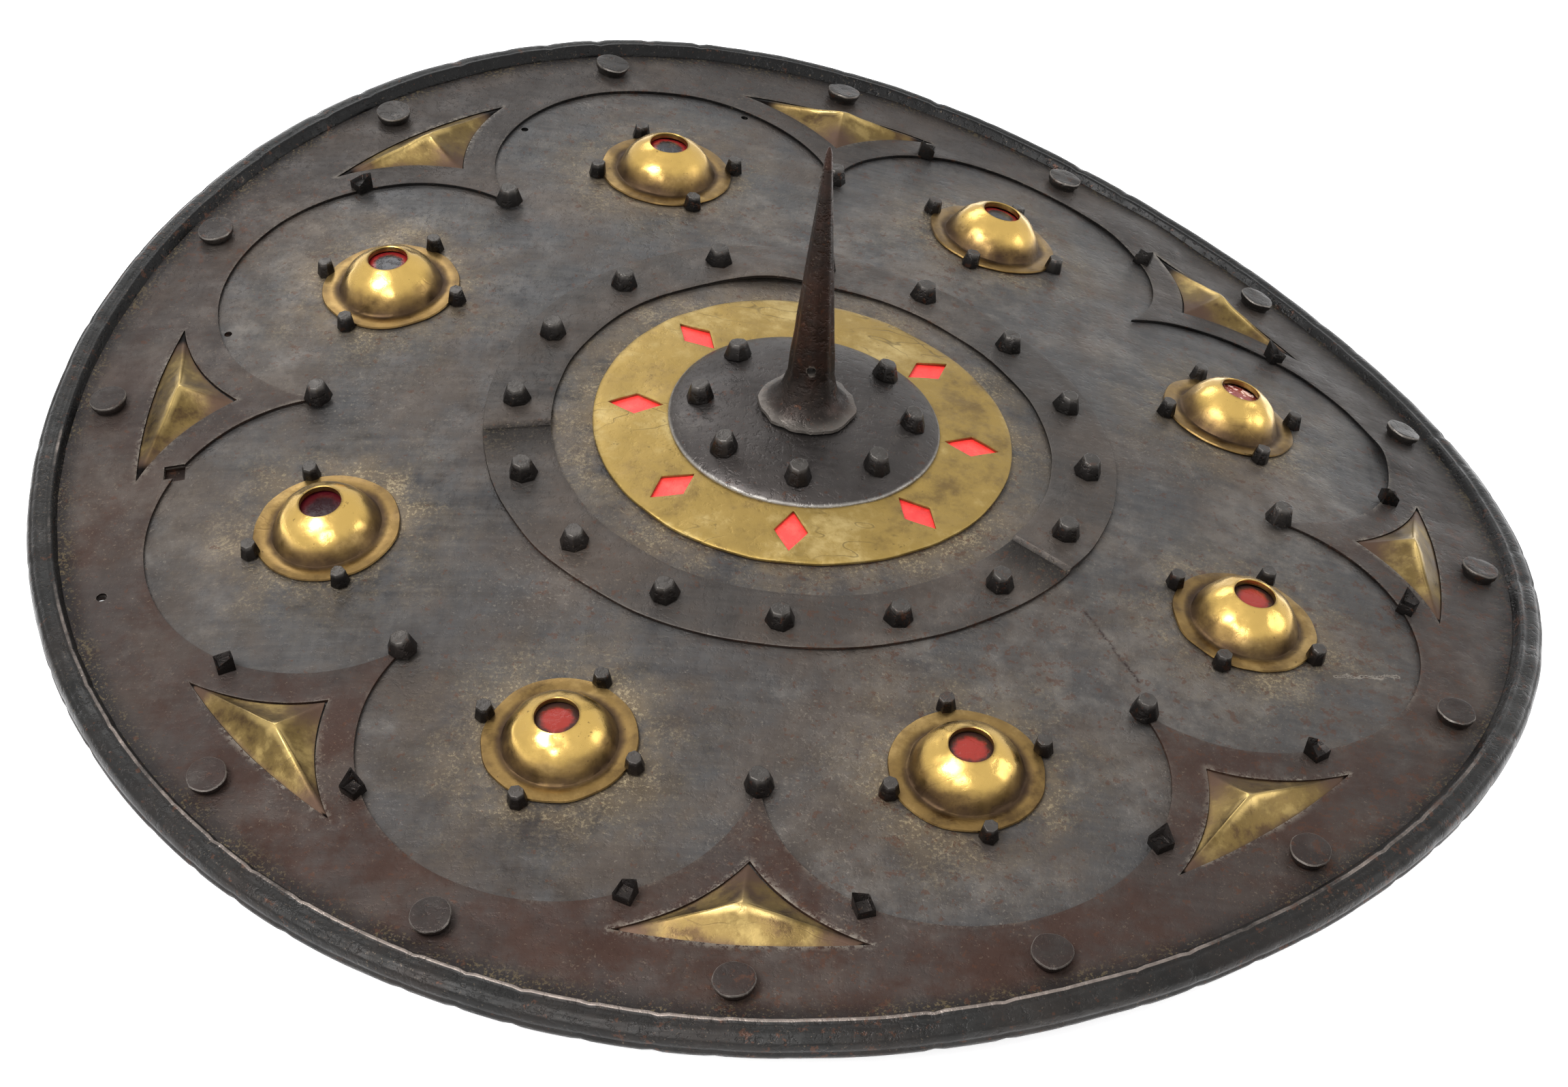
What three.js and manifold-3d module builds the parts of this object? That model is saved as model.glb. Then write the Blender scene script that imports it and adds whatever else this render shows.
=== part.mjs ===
import * as THREE from 'three';
import { mergeVertices } from 'three/addons/utils/BufferGeometryUtils.js';
import Module from 'manifold-3d';

// A round iron and brass targe shield, lying face up on a level surface at z = 0.
// Millimetres and degrees. +Z is up, and the origin is below the middle of the shield on that surface.
// Eight bays repeat around it. A bay's edge is the line through a cusp of the scalloped border,
// and a bay's middle is the line through its boss. The first cusp faces -Y.

const wasm = await Module();
wasm.setup();

// Widths, from the middle of the shield outwards
const DISC_RADIUS = 47;
const RING_UNDER_DISC = 5.5;
const RING_SHOWING = 25.5;
const RING_TO_BAND = 14;
const BAND_WIDTH = 23;
const BAND_TO_BOSSES = 56;
const LOBE_OUTWARD = 60;
const LOBE_TO_RIVETS = 14.8;
const RIVETS_TO_RIM = 10.7;
const RIM_WIDTH = 11;

// Bays of the pattern
const BAYS = 8;
const FIRST_CUSP = -90;
const LOBE_OVERLAP = 1.6;
const WEB_WIDTH = 11.8;
const OPENING_TO_RIVET = 7.7;

// Sheets and the clearance between pieces that touch
const PLATE_THICKNESS = 1.4;
const BORDER_THICKNESS = 1.2;
const BACKING_THICKNESS = 0.6;
const RING_THICKNESS = 1;
const DISC_THICKNESS = 1.3;
const BRASS_THICKNESS = 0.9;
const CLEARANCE = 0.3;

// Form of the dished plate, which is bent out of true: a saddle, and a smaller bend of three waves
const DISH_DEPTH = 31;
const DISH_POWER = 1.6;
const SADDLE_DEPTH = 19.1;
const SADDLE_HIGH = 128;
const THREE_WAVE_DEPTH = 3.8;
const THREE_WAVE_HIGH = 103;

// Rolled rim, which holds the edges of the plate and the border
const RIM_ABOVE = 6;
const RIM_BELOW = 5.4;
const RIM_EDGE_DEPTH = 6;
const RIM_CHAMFER = 2.4;
const RIM_SLOT_CLEARANCE = 0.5;
const REST_FLAT_DEPTH = 0.8;

// Round flat heads near the rim
const RIVETS_PER_BAY = 2;
const RIVET_RADIUS = 6.6;
const RIVET_HEIGHT = 4;
const LOST_RIVET_INDEX = 3;
const LOST_RIVET_HOLE_RADIUS = 1.8;

// Blunt conical studs
const STUD_HEIGHT = 6;
const STUD_TOP_SHARE = 0.6;
const DISC_STUD_RADIUS = 5;
const BAND_STUD_RADIUS = 5.2;
const CUSP_STUD_RADIUS = 4.9;
const DISC_STUD_INSET = 10.3;
const BAND_STUD_OUTWARD = 1.1;
const CUSP_STUD_OUTWARD = 1.5;
const CUSP_TIP_MARGIN = 0.6;
const STUD_ROOT = 0.6;
const LOST_CUSP_STUD_INDEX = 5;

// Square studs with one corner turned up, on the edges of the lobes
const SQUARE_SIDE = 7.4;
const SQUARE_HEIGHT = 3.6;
const SQUARE_CORNER_HEIGHT = 6.8;
const SQUARE_TURN = 46;
const SQUARE_OUTSIDE_LOBE = 1.6;
const NOTCH_SIDE = 7;
const NOTCH_HEIGHT = 6;

// Square studs that are lost, each by its cusp and its side of the cusp; one left a notch in the edge
const LOST_SQUARES = [[2, -1], [2, 1], [3, -1], [4, 1]];
const NOTCHED_SQUARE = [2, 1];

// Brass bosses with their four pins and their glass jewels
const FLANGE_RADIUS = 25;
const DOME_RADIUS = 18;
const DOME_HEIGHT = 13;
const BOSS_HOLE_RADIUS = 7.1;
const PIN_RADIUS = 3.5;
const PIN_HEIGHT = 5.4;
const PIN_OUTSIDE_FLANGE = 1.5;
const PINS_PER_BOSS = 4;
const PINLESS_BOSS_INDEX = 1;
const JEWEL_SHOULDER = 1.2;
const JEWEL_THICKNESS = 1.8;
const JEWEL_DOME = 1.2;

// Diamonds cut through the brass ring
const DIAMOND_HALF_LENGTH = 9.5;
const DIAMOND_HALF_WIDTH = 5.7;
const DIAMOND_FROM_DISC = 11.2;

// Domed disc and the spike in its middle
const DISC_RISE = 3.4;
const SPIKE_LENGTH = 105;
const SPIKE_RADIUS = 8.3;
const SPIKE_TIP_RADIUS = 0.9;
const FOOT_RADIUS = 17.5;
const FOOT_EDGE = 1.4;
const FOOT_HEIGHT = 12;
const SPIKE_BEND = -4;
const SPIKE_HOLE_RADIUS = 1.6;
const SPIKE_HOLE_HEIGHT = 20;

// Brass relief behind each three-sided opening
const RELIEF_HEIGHT = 7;
const RELIEF_CLEARANCE = 0.6;

// Fineness of the faceted surfaces
const SPOKES = 40;
const GRID_MARGIN = 0.5;
const LOBE_STEPS = 11;
const SIDE_STEPS = 3;
const BOSS_SIDES = 10;
const PIN_SIDES = 5;
const STUD_SIDES = 6;
const RIVET_SIDES = 8;
const JEWEL_SIDES = 6;
const DISC_SPOKES = 24;
const SPIKE_SIDES = 10;

// Radii worked out from the widths
const RING_RADIUS = DISC_RADIUS + RING_SHOWING;
const BAND_INNER = RING_RADIUS + RING_TO_BAND;
const BAND_OUTER = BAND_INNER + BAND_WIDTH;
const BOSS_CIRCLE = BAND_OUTER + BAND_TO_BOSSES;
const RIVET_CIRCLE = BOSS_CIRCLE + LOBE_OUTWARD + LOBE_TO_RIVETS;
const OPENING_RADIUS = RIVET_CIRCLE - RIVET_RADIUS - OPENING_TO_RIVET;
const RIM_INNER = RIVET_CIRCLE + RIVETS_TO_RIM;
const SHIELD_RADIUS = RIM_INNER + RIM_WIDTH;
const PLATE_RADIUS = RIM_INNER + RIM_EDGE_DEPTH;
const RIM_MIDDLE = RIM_INNER + RIM_WIDTH / 2;
const HALF_BAY = Math.PI / BAYS;
const LOBE_SIDEWAYS = BOSS_CIRCLE * Math.sin(HALF_BAY) + LOBE_OVERLAP;
const RING_HOLE_RADIUS = DISC_RADIUS - RING_UNDER_DISC;

// Heights above the plate, worked out from the sheets
const ON_PLATE = CLEARANCE;
const ON_BORDER = ON_PLATE + BORDER_THICKNESS + CLEARANCE;
const ON_BACKING = ON_PLATE + BACKING_THICKNESS + CLEARANCE;
const ON_RING = ON_BACKING + RING_THICKNESS + CLEARANCE;

const radians = THREE.MathUtils.degToRad;
const cuspAngle = (index) => radians(FIRST_CUSP) - 2 * HALF_BAY * index;
const bossAngle = (index) => cuspAngle(index + 0.5);

const iron = { color: 0x4b4642, roughness: 0.55, metalness: 0.85 };
const darkIron = { color: 0x2c2a29, roughness: 0.5, metalness: 0.85 };
const rustyIron = { color: 0x453b36, roughness: 0.65, metalness: 0.7 };
const brass = { color: 0x9a7b3a, roughness: 0.35, metalness: 0.95 };
const dullBrass = { color: 0x8a733d, roughness: 0.55, metalness: 0.9 };
const redGlass = { color: 0x8e2a26, roughness: 0.2, metalness: 0 };
const redCloth = { color: 0xd0463f, roughness: 0.7, metalness: 0 };

// The bend of the plate, without its dish

function bend(radius, angle) {
  const share = radius / SHIELD_RADIUS;
  const saddle = SADDLE_DEPTH * share ** 2 * Math.cos(2 * (angle - radians(SADDLE_HIGH)));
  const waves = THREE_WAVE_DEPTH * share ** 3 * Math.cos(3 * (angle - radians(THREE_WAVE_HIGH)));
  return saddle + waves;
}

// The shield tips until both low sides of its rim reach the surface below
const LOW_SIDE = radians(SADDLE_HIGH - 90);
const TIP = (bend(SHIELD_RADIUS, LOW_SIDE + Math.PI) - bend(SHIELD_RADIUS, LOW_SIDE)) / 2;

function tipHeight(x, y) {
  return TIP * (x * Math.cos(LOW_SIDE) + y * Math.sin(LOW_SIDE)) / SHIELD_RADIUS;
}

function unliftedHeight(x, y) {
  const radius = Math.hypot(x, y);
  const dish = DISH_DEPTH * (radius / RIM_MIDDLE) ** DISH_POWER;
  return bend(radius, Math.atan2(y, x)) + tipHeight(x, y) - dish;
}

// The lift puts the two low flats of the rim on z = 0
const spokeAngles = Array.from({ length: SPOKES }, (_, spoke) => (2 * Math.PI * spoke) / SPOKES);
const lowestRim = Math.min(...spokeAngles.map((angle) => {
  return unliftedHeight(RIM_MIDDLE * Math.cos(angle), RIM_MIDDLE * Math.sin(angle));
}));
const LIFT = RIM_BELOW - REST_FLAT_DEPTH - lowestRim;

function plateHeight(x, y) {
  return unliftedHeight(x, y) + LIFT;
}

// Halves the span between two values until it holds the place where the function changes sign
function solve(measure, from, to) {
  let low = from;
  let high = to;
  for (let step = 0; step < 50; step += 1) {
    const middle = (low + high) / 2;
    if (measure(middle) > 0 === measure(low) > 0) {
      low = middle;
    } else {
      high = middle;
    }
  }
  return (low + high) / 2;
}

// Point on the lobe beside a cusp line that lies along +X, or on a curve parallel to it
function lobePoint(angle, outside) {
  const outward = (LOBE_OUTWARD + outside) * Math.cos(angle);
  const sideways = (LOBE_SIDEWAYS + outside) * Math.sin(angle);
  return new THREE.Vector2(BOSS_CIRCLE + outward, sideways).rotateAround(new THREE.Vector2(), HALF_BAY);
}

// The outer of the two places where that curve crosses the cusp line
function crossingOfCuspLine(outside) {
  const towardsMiddle = -(LOBE_OUTWARD + outside) * Math.sin(HALF_BAY);
  const towardsLine = -(LOBE_SIDEWAYS + outside) * Math.cos(HALF_BAY);
  const farthest = Math.atan2(towardsLine, towardsMiddle);
  return solve((angle) => lobePoint(angle, outside).y, farthest, farthest + Math.PI / 2);
}

const CUSP_RADIUS = lobePoint(crossingOfCuspLine(0), 0).x;
const CUSP_STUD_CIRCLE = CUSP_RADIUS + CUSP_STUD_OUTWARD;

// Rings of the faceted surface, each just inside a piece that starts there
const GRID_RADII = [
  RING_HOLE_RADIUS - GRID_MARGIN,
  BAND_INNER - GRID_MARGIN,
  (BAND_INNER + CUSP_RADIUS) / 2,
  CUSP_STUD_CIRCLE - CUSP_STUD_RADIUS - CUSP_TIP_MARGIN - GRID_MARGIN,
  (CUSP_RADIUS + PLATE_RADIUS) / 2,
  PLATE_RADIUS,
];

// Height of the faceted surface: straight between the corners of its rings and spokes
function gridHeight(x, y) {
  const step = (2 * Math.PI) / SPOKES;
  const turn = (Math.atan2(y, x) + 2 * Math.PI) % (2 * Math.PI);
  const first = Math.floor(turn / step) * step;
  const second = first + step;
  const onFirst = (x * Math.sin(second) - y * Math.cos(second)) / Math.sin(step);
  const onSecond = (y * Math.cos(first) - x * Math.sin(first)) / Math.sin(step);
  const reach = onFirst + onSecond;
  const beyond = GRID_RADII.findIndex((radius) => radius > reach);
  const ring = beyond < 0 ? GRID_RADII.length - 1 : beyond;
  const far = GRID_RADII[ring];
  const near = ring > 0 ? GRID_RADII[ring - 1] : 0;
  const share = (reach - near) / (far - near);
  const corner = (radius, angle) => plateHeight(radius * Math.cos(angle), radius * Math.sin(angle));
  const farSecond = corner(far, second);
  const nearFirst = corner(near, first);
  if (near > 0 && onSecond > share * far) {
    const back = onFirst / near;
    return farSecond * share + nearFirst * back + corner(near, second) * (1 - share - back);
  }
  const ahead = onSecond / far;
  return farSecond * ahead + corner(far, first) * (share - ahead) + nearFirst * (1 - share);
}

// Closed meshes and their solids

function facetedGeometry(positions, faces) {
  const geometry = new THREE.BufferGeometry();
  geometry.setAttribute('position', new THREE.Float32BufferAttribute(positions, 3));
  geometry.setIndex(faces);
  return geometry;
}

function toSolid(geometry) {
  const bare = geometry.clone();
  bare.deleteAttribute('normal');
  bare.deleteAttribute('uv');
  const merged = mergeVertices(bare, 1e-4);
  return new wasm.Manifold(new wasm.Mesh({
    numProp: 3,
    vertProperties: new Float32Array(merged.attributes.position.array),
    triVerts: new Uint32Array(merged.index.array),
  }));
}

function toGeometry(solid) {
  const mesh = solid.getMesh();
  return facetedGeometry(Array.from(mesh.vertProperties), Array.from(mesh.triVerts));
}

// A sheet on rings and spokes, between an underside and the same surface raised by its thickness
function polarSheet(under, thickness, radii, spokes) {
  const positions = [0, 0, under(0, 0), 0, 0, under(0, 0) + thickness];
  const faces = [];
  for (const radius of radii) {
    for (let spoke = 0; spoke < spokes; spoke += 1) {
      const angle = (2 * Math.PI * spoke) / spokes;
      const x = radius * Math.cos(angle);
      const y = radius * Math.sin(angle);
      positions.push(x, y, under(x, y), x, y, under(x, y) + thickness);
    }
  }
  const corner = (ring, spoke, side) => 2 + 2 * (ring * spokes + (spoke % spokes)) + side;
  for (let spoke = 0; spoke < spokes; spoke += 1) {
    faces.push(0, corner(0, spoke + 1, 0), corner(0, spoke, 0));
    faces.push(1, corner(0, spoke, 1), corner(0, spoke + 1, 1));
    for (let ring = 0; ring + 1 < radii.length; ring += 1) {
      for (const side of [0, 1]) {
        const near = corner(ring, spoke, side);
        const nearNext = corner(ring, spoke + 1, side);
        const far = corner(ring + 1, spoke, side);
        const farNext = corner(ring + 1, spoke + 1, side);
        const upward = [near, far, farNext, near, farNext, nearNext];
        faces.push(...(side === 1 ? upward : upward.reverse()));
      }
    }
    const last = radii.length - 1;
    const low = corner(last, spoke, 0);
    const lowNext = corner(last, spoke + 1, 0);
    faces.push(low, lowNext, lowNext + 1, low, lowNext + 1, low + 1);
  }
  return facetedGeometry(positions, faces);
}

function bentSheet(low, thickness) {
  return toSolid(polarSheet((x, y) => plateHeight(x, y) + low, thickness, GRID_RADII, SPOKES));
}

// A closed ring of sheet between two radii, lying on the faceted surface
function bentRing(inner, outer, low, thickness, spokes = SPOKES) {
  const positions = [];
  const faces = [];
  for (let spoke = 0; spoke < spokes; spoke += 1) {
    const angle = (2 * Math.PI * spoke) / spokes;
    for (const [radius, raise] of [[inner, 0], [outer, 0], [outer, thickness], [inner, thickness]]) {
      const x = radius * Math.cos(angle);
      const y = radius * Math.sin(angle);
      positions.push(x, y, gridHeight(x, y) + low + raise);
    }
    const here = 4 * spoke;
    const next = 4 * ((spoke + 1) % spokes);
    for (let corner = 0; corner < 4; corner += 1) {
      const following = (corner + 1) % 4;
      faces.push(here + corner, next + corner, next + following);
      faces.push(here + corner, next + following, here + following);
    }
  }
  return facetedGeometry(positions, faces);
}

// Upright cutters, tall enough to pass through the whole shield

function prism(shape, curveSegments = SPOKES / 2) {
  const tall = 2 * SHIELD_RADIUS;
  const geometry = new THREE.ExtrudeGeometry(shape, { depth: tall, bevelEnabled: false, curveSegments });
  geometry.translate(0, 0, -tall / 2);
  return toSolid(geometry);
}

function circlePrism(radius, x = 0, y = 0, curveSegments = SPOKES / 2) {
  const shape = new THREE.Shape();
  shape.absarc(x, y, radius, 0, 2 * Math.PI);
  return prism(shape, curveSegments);
}

function annulusPrism(inner, outer) {
  return circlePrism(outer).subtract(circlePrism(inner));
}

// Three-sided opening of the border, about a cusp line along +X, made smaller by an inset
function openingOutline(inset) {
  const parallel = WEB_WIDTH + inset;
  const reach = OPENING_RADIUS - inset;
  const inner = crossingOfCuspLine(parallel);
  const outer = solve((angle) => lobePoint(angle, parallel).length() - reach, inner, 0);
  const side = [];
  for (let step = 0; step <= SIDE_STEPS; step += 1) {
    side.push(lobePoint(inner + ((outer - inner) * step) / SIDE_STEPS, parallel));
  }
  side[0].y = 0;
  const cornerAngle = side[SIDE_STEPS].angle();
  const outline = [...side];
  for (let step = 1; step < SIDE_STEPS; step += 1) {
    const angle = cornerAngle * (1 - (2 * step) / SIDE_STEPS);
    outline.push(new THREE.Vector2(reach * Math.cos(angle), reach * Math.sin(angle)));
  }
  for (let step = SIDE_STEPS; step > 0; step -= 1) {
    outline.push(new THREE.Vector2(side[step].x, -side[step].y));
  }
  return outline;
}

function turned(outline, angle) {
  return outline.map((point) => point.clone().rotateAround(new THREE.Vector2(), angle));
}

// Sets a small piece on the shield: its own X points outwards, its height stands square to the plate,
// and its base follows the surface that it sits on
function seat(geometry, radius, angle, lift, surface = gridHeight) {
  const x = radius * Math.cos(angle);
  const y = radius * Math.sin(angle);
  const slopeX = plateHeight(x + 1, y) - plateHeight(x - 1, y);
  const slopeY = plateHeight(x, y + 1) - plateHeight(x, y - 1);
  const normal = new THREE.Vector3(-slopeX / 2, -slopeY / 2, 1).normalize();
  const outward = new THREE.Vector3(Math.cos(angle), Math.sin(angle), 0);
  outward.addScaledVector(normal, -outward.dot(normal)).normalize();
  const sideways = new THREE.Vector3().crossVectors(normal, outward);
  const placed = geometry.clone();
  const position = placed.attributes.position;
  for (let index = 0; index < position.count; index += 1) {
    const point = new THREE.Vector3(x, y, 0);
    point.addScaledVector(outward, position.getX(index));
    point.addScaledVector(sideways, position.getY(index));
    point.z = surface(point.x, point.y) + lift;
    point.addScaledVector(normal, position.getZ(index));
    position.setXYZ(index, point.x, point.y, point.z);
  }
  return placed;
}

// A solid of revolution standing on its own +Z axis, from radius and height pairs
function turnedPiece(profile, sides) {
  const points = profile.map(([radius, height]) => new THREE.Vector2(radius, height));
  const geometry = new THREE.LatheGeometry(points, sides);
  geometry.rotateX(Math.PI / 2);
  return geometry;
}

function studGeometry(radius, height, root = 0, sides = STUD_SIDES) {
  const profile = [[0, -root], [radius, -root], [radius * STUD_TOP_SHARE, height], [0, height]];
  return turnedPiece(profile, sides);
}

function squareStudGeometry(mirror) {
  const half = SQUARE_SIDE / 2;
  const box = new THREE.BoxGeometry(SQUARE_SIDE, SQUARE_SIDE, SQUARE_HEIGHT);
  box.translate(0, 0, SQUARE_HEIGHT / 2);
  const position = box.attributes.position;
  for (let index = 0; index < position.count; index += 1) {
    const isTop = position.getZ(index) > SQUARE_HEIGHT / 2;
    const isCorner = position.getX(index) < 0 && position.getY(index) * mirror > 0;
    if (isTop && isCorner) {
      position.setXYZ(index, -half, mirror * half, SQUARE_CORNER_HEIGHT);
    }
  }
  return box;
}

// Big bent pieces

function shieldPlate() {
  const lostRivet = cuspAngle(LOST_RIVET_INDEX / RIVETS_PER_BAY);
  const x = RIVET_CIRCLE * Math.cos(lostRivet);
  const y = RIVET_CIRCLE * Math.sin(lostRivet);
  const hole = circlePrism(LOST_RIVET_HOLE_RADIUS, x, y, STUD_SIDES / 2);
  return bentSheet(-PLATE_THICKNESS, PLATE_THICKNESS).subtract(hole);
}

function scallopedBorder() {
  const inside = CUSP_RADIUS - LOBE_OVERLAP;
  let outline = annulusPrism(inside, SHIELD_RADIUS);
  for (let bay = 0; bay < BAYS; bay += 1) {
    const angle = bossAngle(bay);
    const lobe = new THREE.Shape();
    const x = BOSS_CIRCLE * Math.cos(angle);
    const y = BOSS_CIRCLE * Math.sin(angle);
    lobe.absellipse(x, y, LOBE_OUTWARD, LOBE_SIDEWAYS, 0, 2 * Math.PI, false, angle);
    outline = outline.subtract(prism(lobe, LOBE_STEPS));
    outline = outline.subtract(prism(new THREE.Shape(turned(openingOutline(0), cuspAngle(bay)))));
  }
  const tipRadius = CUSP_STUD_RADIUS + CUSP_TIP_MARGIN;
  for (let cusp = 0; cusp < BAYS; cusp += 1) {
    const x = CUSP_STUD_CIRCLE * Math.cos(cuspAngle(cusp));
    const y = CUSP_STUD_CIRCLE * Math.sin(cuspAngle(cusp));
    outline = outline.add(circlePrism(tipRadius, x, y, RIVET_SIDES / 2));
  }
  const lostRivet = cuspAngle(LOST_RIVET_INDEX / RIVETS_PER_BAY);
  const holeX = RIVET_CIRCLE * Math.cos(lostRivet);
  const holeY = RIVET_CIRCLE * Math.sin(lostRivet);
  outline = outline.subtract(circlePrism(LOST_RIVET_HOLE_RADIUS, holeX, holeY, STUD_SIDES / 2));
  let border = bentSheet(ON_PLATE, BORDER_THICKNESS).intersect(outline);
  for (let bay = 0; bay < BAYS; bay += 1) {
    for (const mirror of [-1, 1]) {
      const local = lobePoint(radians(-SQUARE_TURN), SQUARE_OUTSIDE_LOBE);
      const angle = cuspAngle(bay) + mirror * local.angle();
      const lift = ON_PLATE + BORDER_THICKNESS / 2;
      const isHere = ([cusp, side]) => cusp === bay && side === mirror;
      if (isHere(NOTCHED_SQUARE)) {
        const notch = new THREE.BoxGeometry(NOTCH_SIDE, NOTCH_SIDE, NOTCH_HEIGHT);
        border = border.subtract(toSolid(seat(notch, local.length(), angle, lift)));
      }
      if (!LOST_SQUARES.some(isHere)) {
        const square = seat(squareStudGeometry(-mirror), local.length(), angle, lift);
        border = border.add(toSolid(square));
      }
    }
  }
  return border;
}

function bandRing() {
  let band = toSolid(bentRing(BAND_INNER, BAND_OUTER, ON_PLATE, BORDER_THICKNESS));
  const studs = 2 * BAYS;
  const studCircle = (BAND_INNER + BAND_OUTER) / 2 + BAND_STUD_OUTWARD;
  for (let index = 0; index < studs; index += 1) {
    const stud = studGeometry(BAND_STUD_RADIUS, STUD_HEIGHT, STUD_ROOT);
    band = band.add(toSolid(seat(stud, studCircle, cuspAngle(index / 2), ON_PLATE + BORDER_THICKNESS)));
  }
  return band;
}

function brassRing() {
  const middle = DISC_RADIUS + DIAMOND_FROM_DISC;
  let ring = toSolid(bentRing(RING_HOLE_RADIUS, RING_RADIUS, ON_BACKING, RING_THICKNESS));
  for (let index = 0; index < BAYS; index += 1) {
    const corners = [
      new THREE.Vector2(middle + DIAMOND_HALF_LENGTH, 0),
      new THREE.Vector2(middle, DIAMOND_HALF_WIDTH),
      new THREE.Vector2(middle - DIAMOND_HALF_LENGTH, 0),
      new THREE.Vector2(middle, -DIAMOND_HALF_WIDTH),
    ];
    ring = ring.subtract(prism(new THREE.Shape(turned(corners, cuspAngle(index)))));
  }
  return ring;
}

function redBacking() {
  return bentRing(RING_HOLE_RADIUS, RING_RADIUS - RING_THICKNESS, ON_PLATE, BACKING_THICKNESS, SPOKES / 2);
}

// Domed disc: level in the middle, where the spike stands, and following the brass ring at its edge

const SEAT_RADIUS = FOOT_RADIUS + 2 * FOOT_EDGE;

function discUnderside(x, y) {
  const radius = Math.hypot(x, y);
  const outwards = Math.max(0, (radius - SEAT_RADIUS) / (DISC_RADIUS - SEAT_RADIUS));
  const level = plateHeight(0, 0) + tipHeight(x, y);
  const base = level + (gridHeight(x, y) - level) * outwards;
  return base + ON_RING + DISC_RISE * (1 - outwards ** 2);
}

function discTop(x, y) {
  return discUnderside(x, y) + DISC_THICKNESS;
}

function domedDisc() {
  const radii = [SEAT_RADIUS, (SEAT_RADIUS + DISC_RADIUS) / 2, DISC_RADIUS];
  let disc = toSolid(polarSheet(discUnderside, DISC_THICKNESS, radii, DISC_SPOKES));
  for (let index = 0; index < BAYS; index += 1) {
    const stud = studGeometry(DISC_STUD_RADIUS, STUD_HEIGHT, STUD_ROOT);
    const placed = seat(stud, DISC_RADIUS - DISC_STUD_INSET, cuspAngle(index), 0, discTop);
    disc = disc.add(toSolid(placed));
  }
  return disc;
}

function spike() {
  const waist = SPIKE_RADIUS + 1;
  const profile = [
    [0, 0],
    [FOOT_RADIUS, 0],
    [FOOT_RADIUS - 0.3, FOOT_EDGE],
    [(FOOT_RADIUS + waist) / 2 - 1, FOOT_HEIGHT / 3],
    [waist, (2 * FOOT_HEIGHT) / 3],
    [SPIKE_RADIUS, FOOT_HEIGHT],
    [(SPIKE_RADIUS + SPIKE_TIP_RADIUS) / 2, (SPIKE_LENGTH + FOOT_HEIGHT) / 2],
    [SPIKE_TIP_RADIUS, SPIKE_LENGTH - SPIKE_TIP_RADIUS],
    [0, SPIKE_LENGTH],
  ];
  const hole = new THREE.CylinderGeometry(
    SPIKE_HOLE_RADIUS,
    SPIKE_HOLE_RADIUS,
    4 * SPIKE_RADIUS,
    STUD_SIDES,
  );
  hole.translate(0, 0, SPIKE_HOLE_HEIGHT);
  const drilled = toGeometry(toSolid(turnedPiece(profile, SPIKE_SIDES)).subtract(toSolid(hole)));
  const position = drilled.attributes.position;
  for (let index = 0; index < position.count; index += 1) {
    const above = Math.max(0, position.getZ(index) - FOOT_HEIGHT);
    position.setX(index, position.getX(index) + (SPIKE_BEND * above) / (SPIKE_LENGTH - FOOT_HEIGHT));
  }
  return seat(drilled, 0, 0, CLEARANCE, discTop);
}

// Rolled rim: upright outside, with a slot that follows the plate and the border inside it
function rim() {
  const slotFloor = -PLATE_THICKNESS - RIM_SLOT_CLEARANCE;
  const slotRoof = ON_PLATE + BORDER_THICKNESS + RIM_SLOT_CLEARANCE;
  const slotEnd = PLATE_RADIUS + RIM_SLOT_CLEARANCE;
  const section = [
    { radius: RIM_INNER, inSlot: slotRoof },
    { radius: slotEnd, inSlot: slotRoof },
    { radius: slotEnd, inSlot: slotFloor },
    { radius: RIM_INNER, inSlot: slotFloor },
    { radius: RIM_INNER + RIM_CHAMFER, height: -RIM_BELOW },
    { radius: SHIELD_RADIUS - RIM_CHAMFER, height: -RIM_BELOW },
    { radius: SHIELD_RADIUS, height: -RIM_BELOW + RIM_CHAMFER },
    { radius: SHIELD_RADIUS, height: RIM_ABOVE - 1.5 * RIM_CHAMFER },
    { radius: SHIELD_RADIUS - RIM_CHAMFER, height: RIM_ABOVE - RIM_CHAMFER / 4 },
    { radius: RIM_INNER + 1.5 * RIM_CHAMFER, height: RIM_ABOVE },
  ];
  const positions = [];
  const faces = [];
  for (const angle of spokeAngles) {
    const cos = Math.cos(angle);
    const sin = Math.sin(angle);
    const middle = gridHeight(RIM_MIDDLE * cos, RIM_MIDDLE * sin);
    for (const { radius, inSlot, height } of section) {
      const slotHeight = gridHeight(radius * cos, radius * sin) + inSlot;
      const z = inSlot === undefined ? middle + height : slotHeight;
      positions.push(radius * cos, radius * sin, Math.max(0, z));
    }
  }
  const corners = section.length;
  for (let spoke = 0; spoke < SPOKES; spoke += 1) {
    for (let corner = 0; corner < corners; corner += 1) {
      const here = spoke * corners;
      const next = ((spoke + 1) % SPOKES) * corners;
      const following = (corner + 1) % corners;
      faces.push(here + corner, next + corner, next + following);
      faces.push(here + corner, next + following, here + following);
    }
  }
  return facetedGeometry(positions, faces);
}

// Small pieces of one bay

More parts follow.
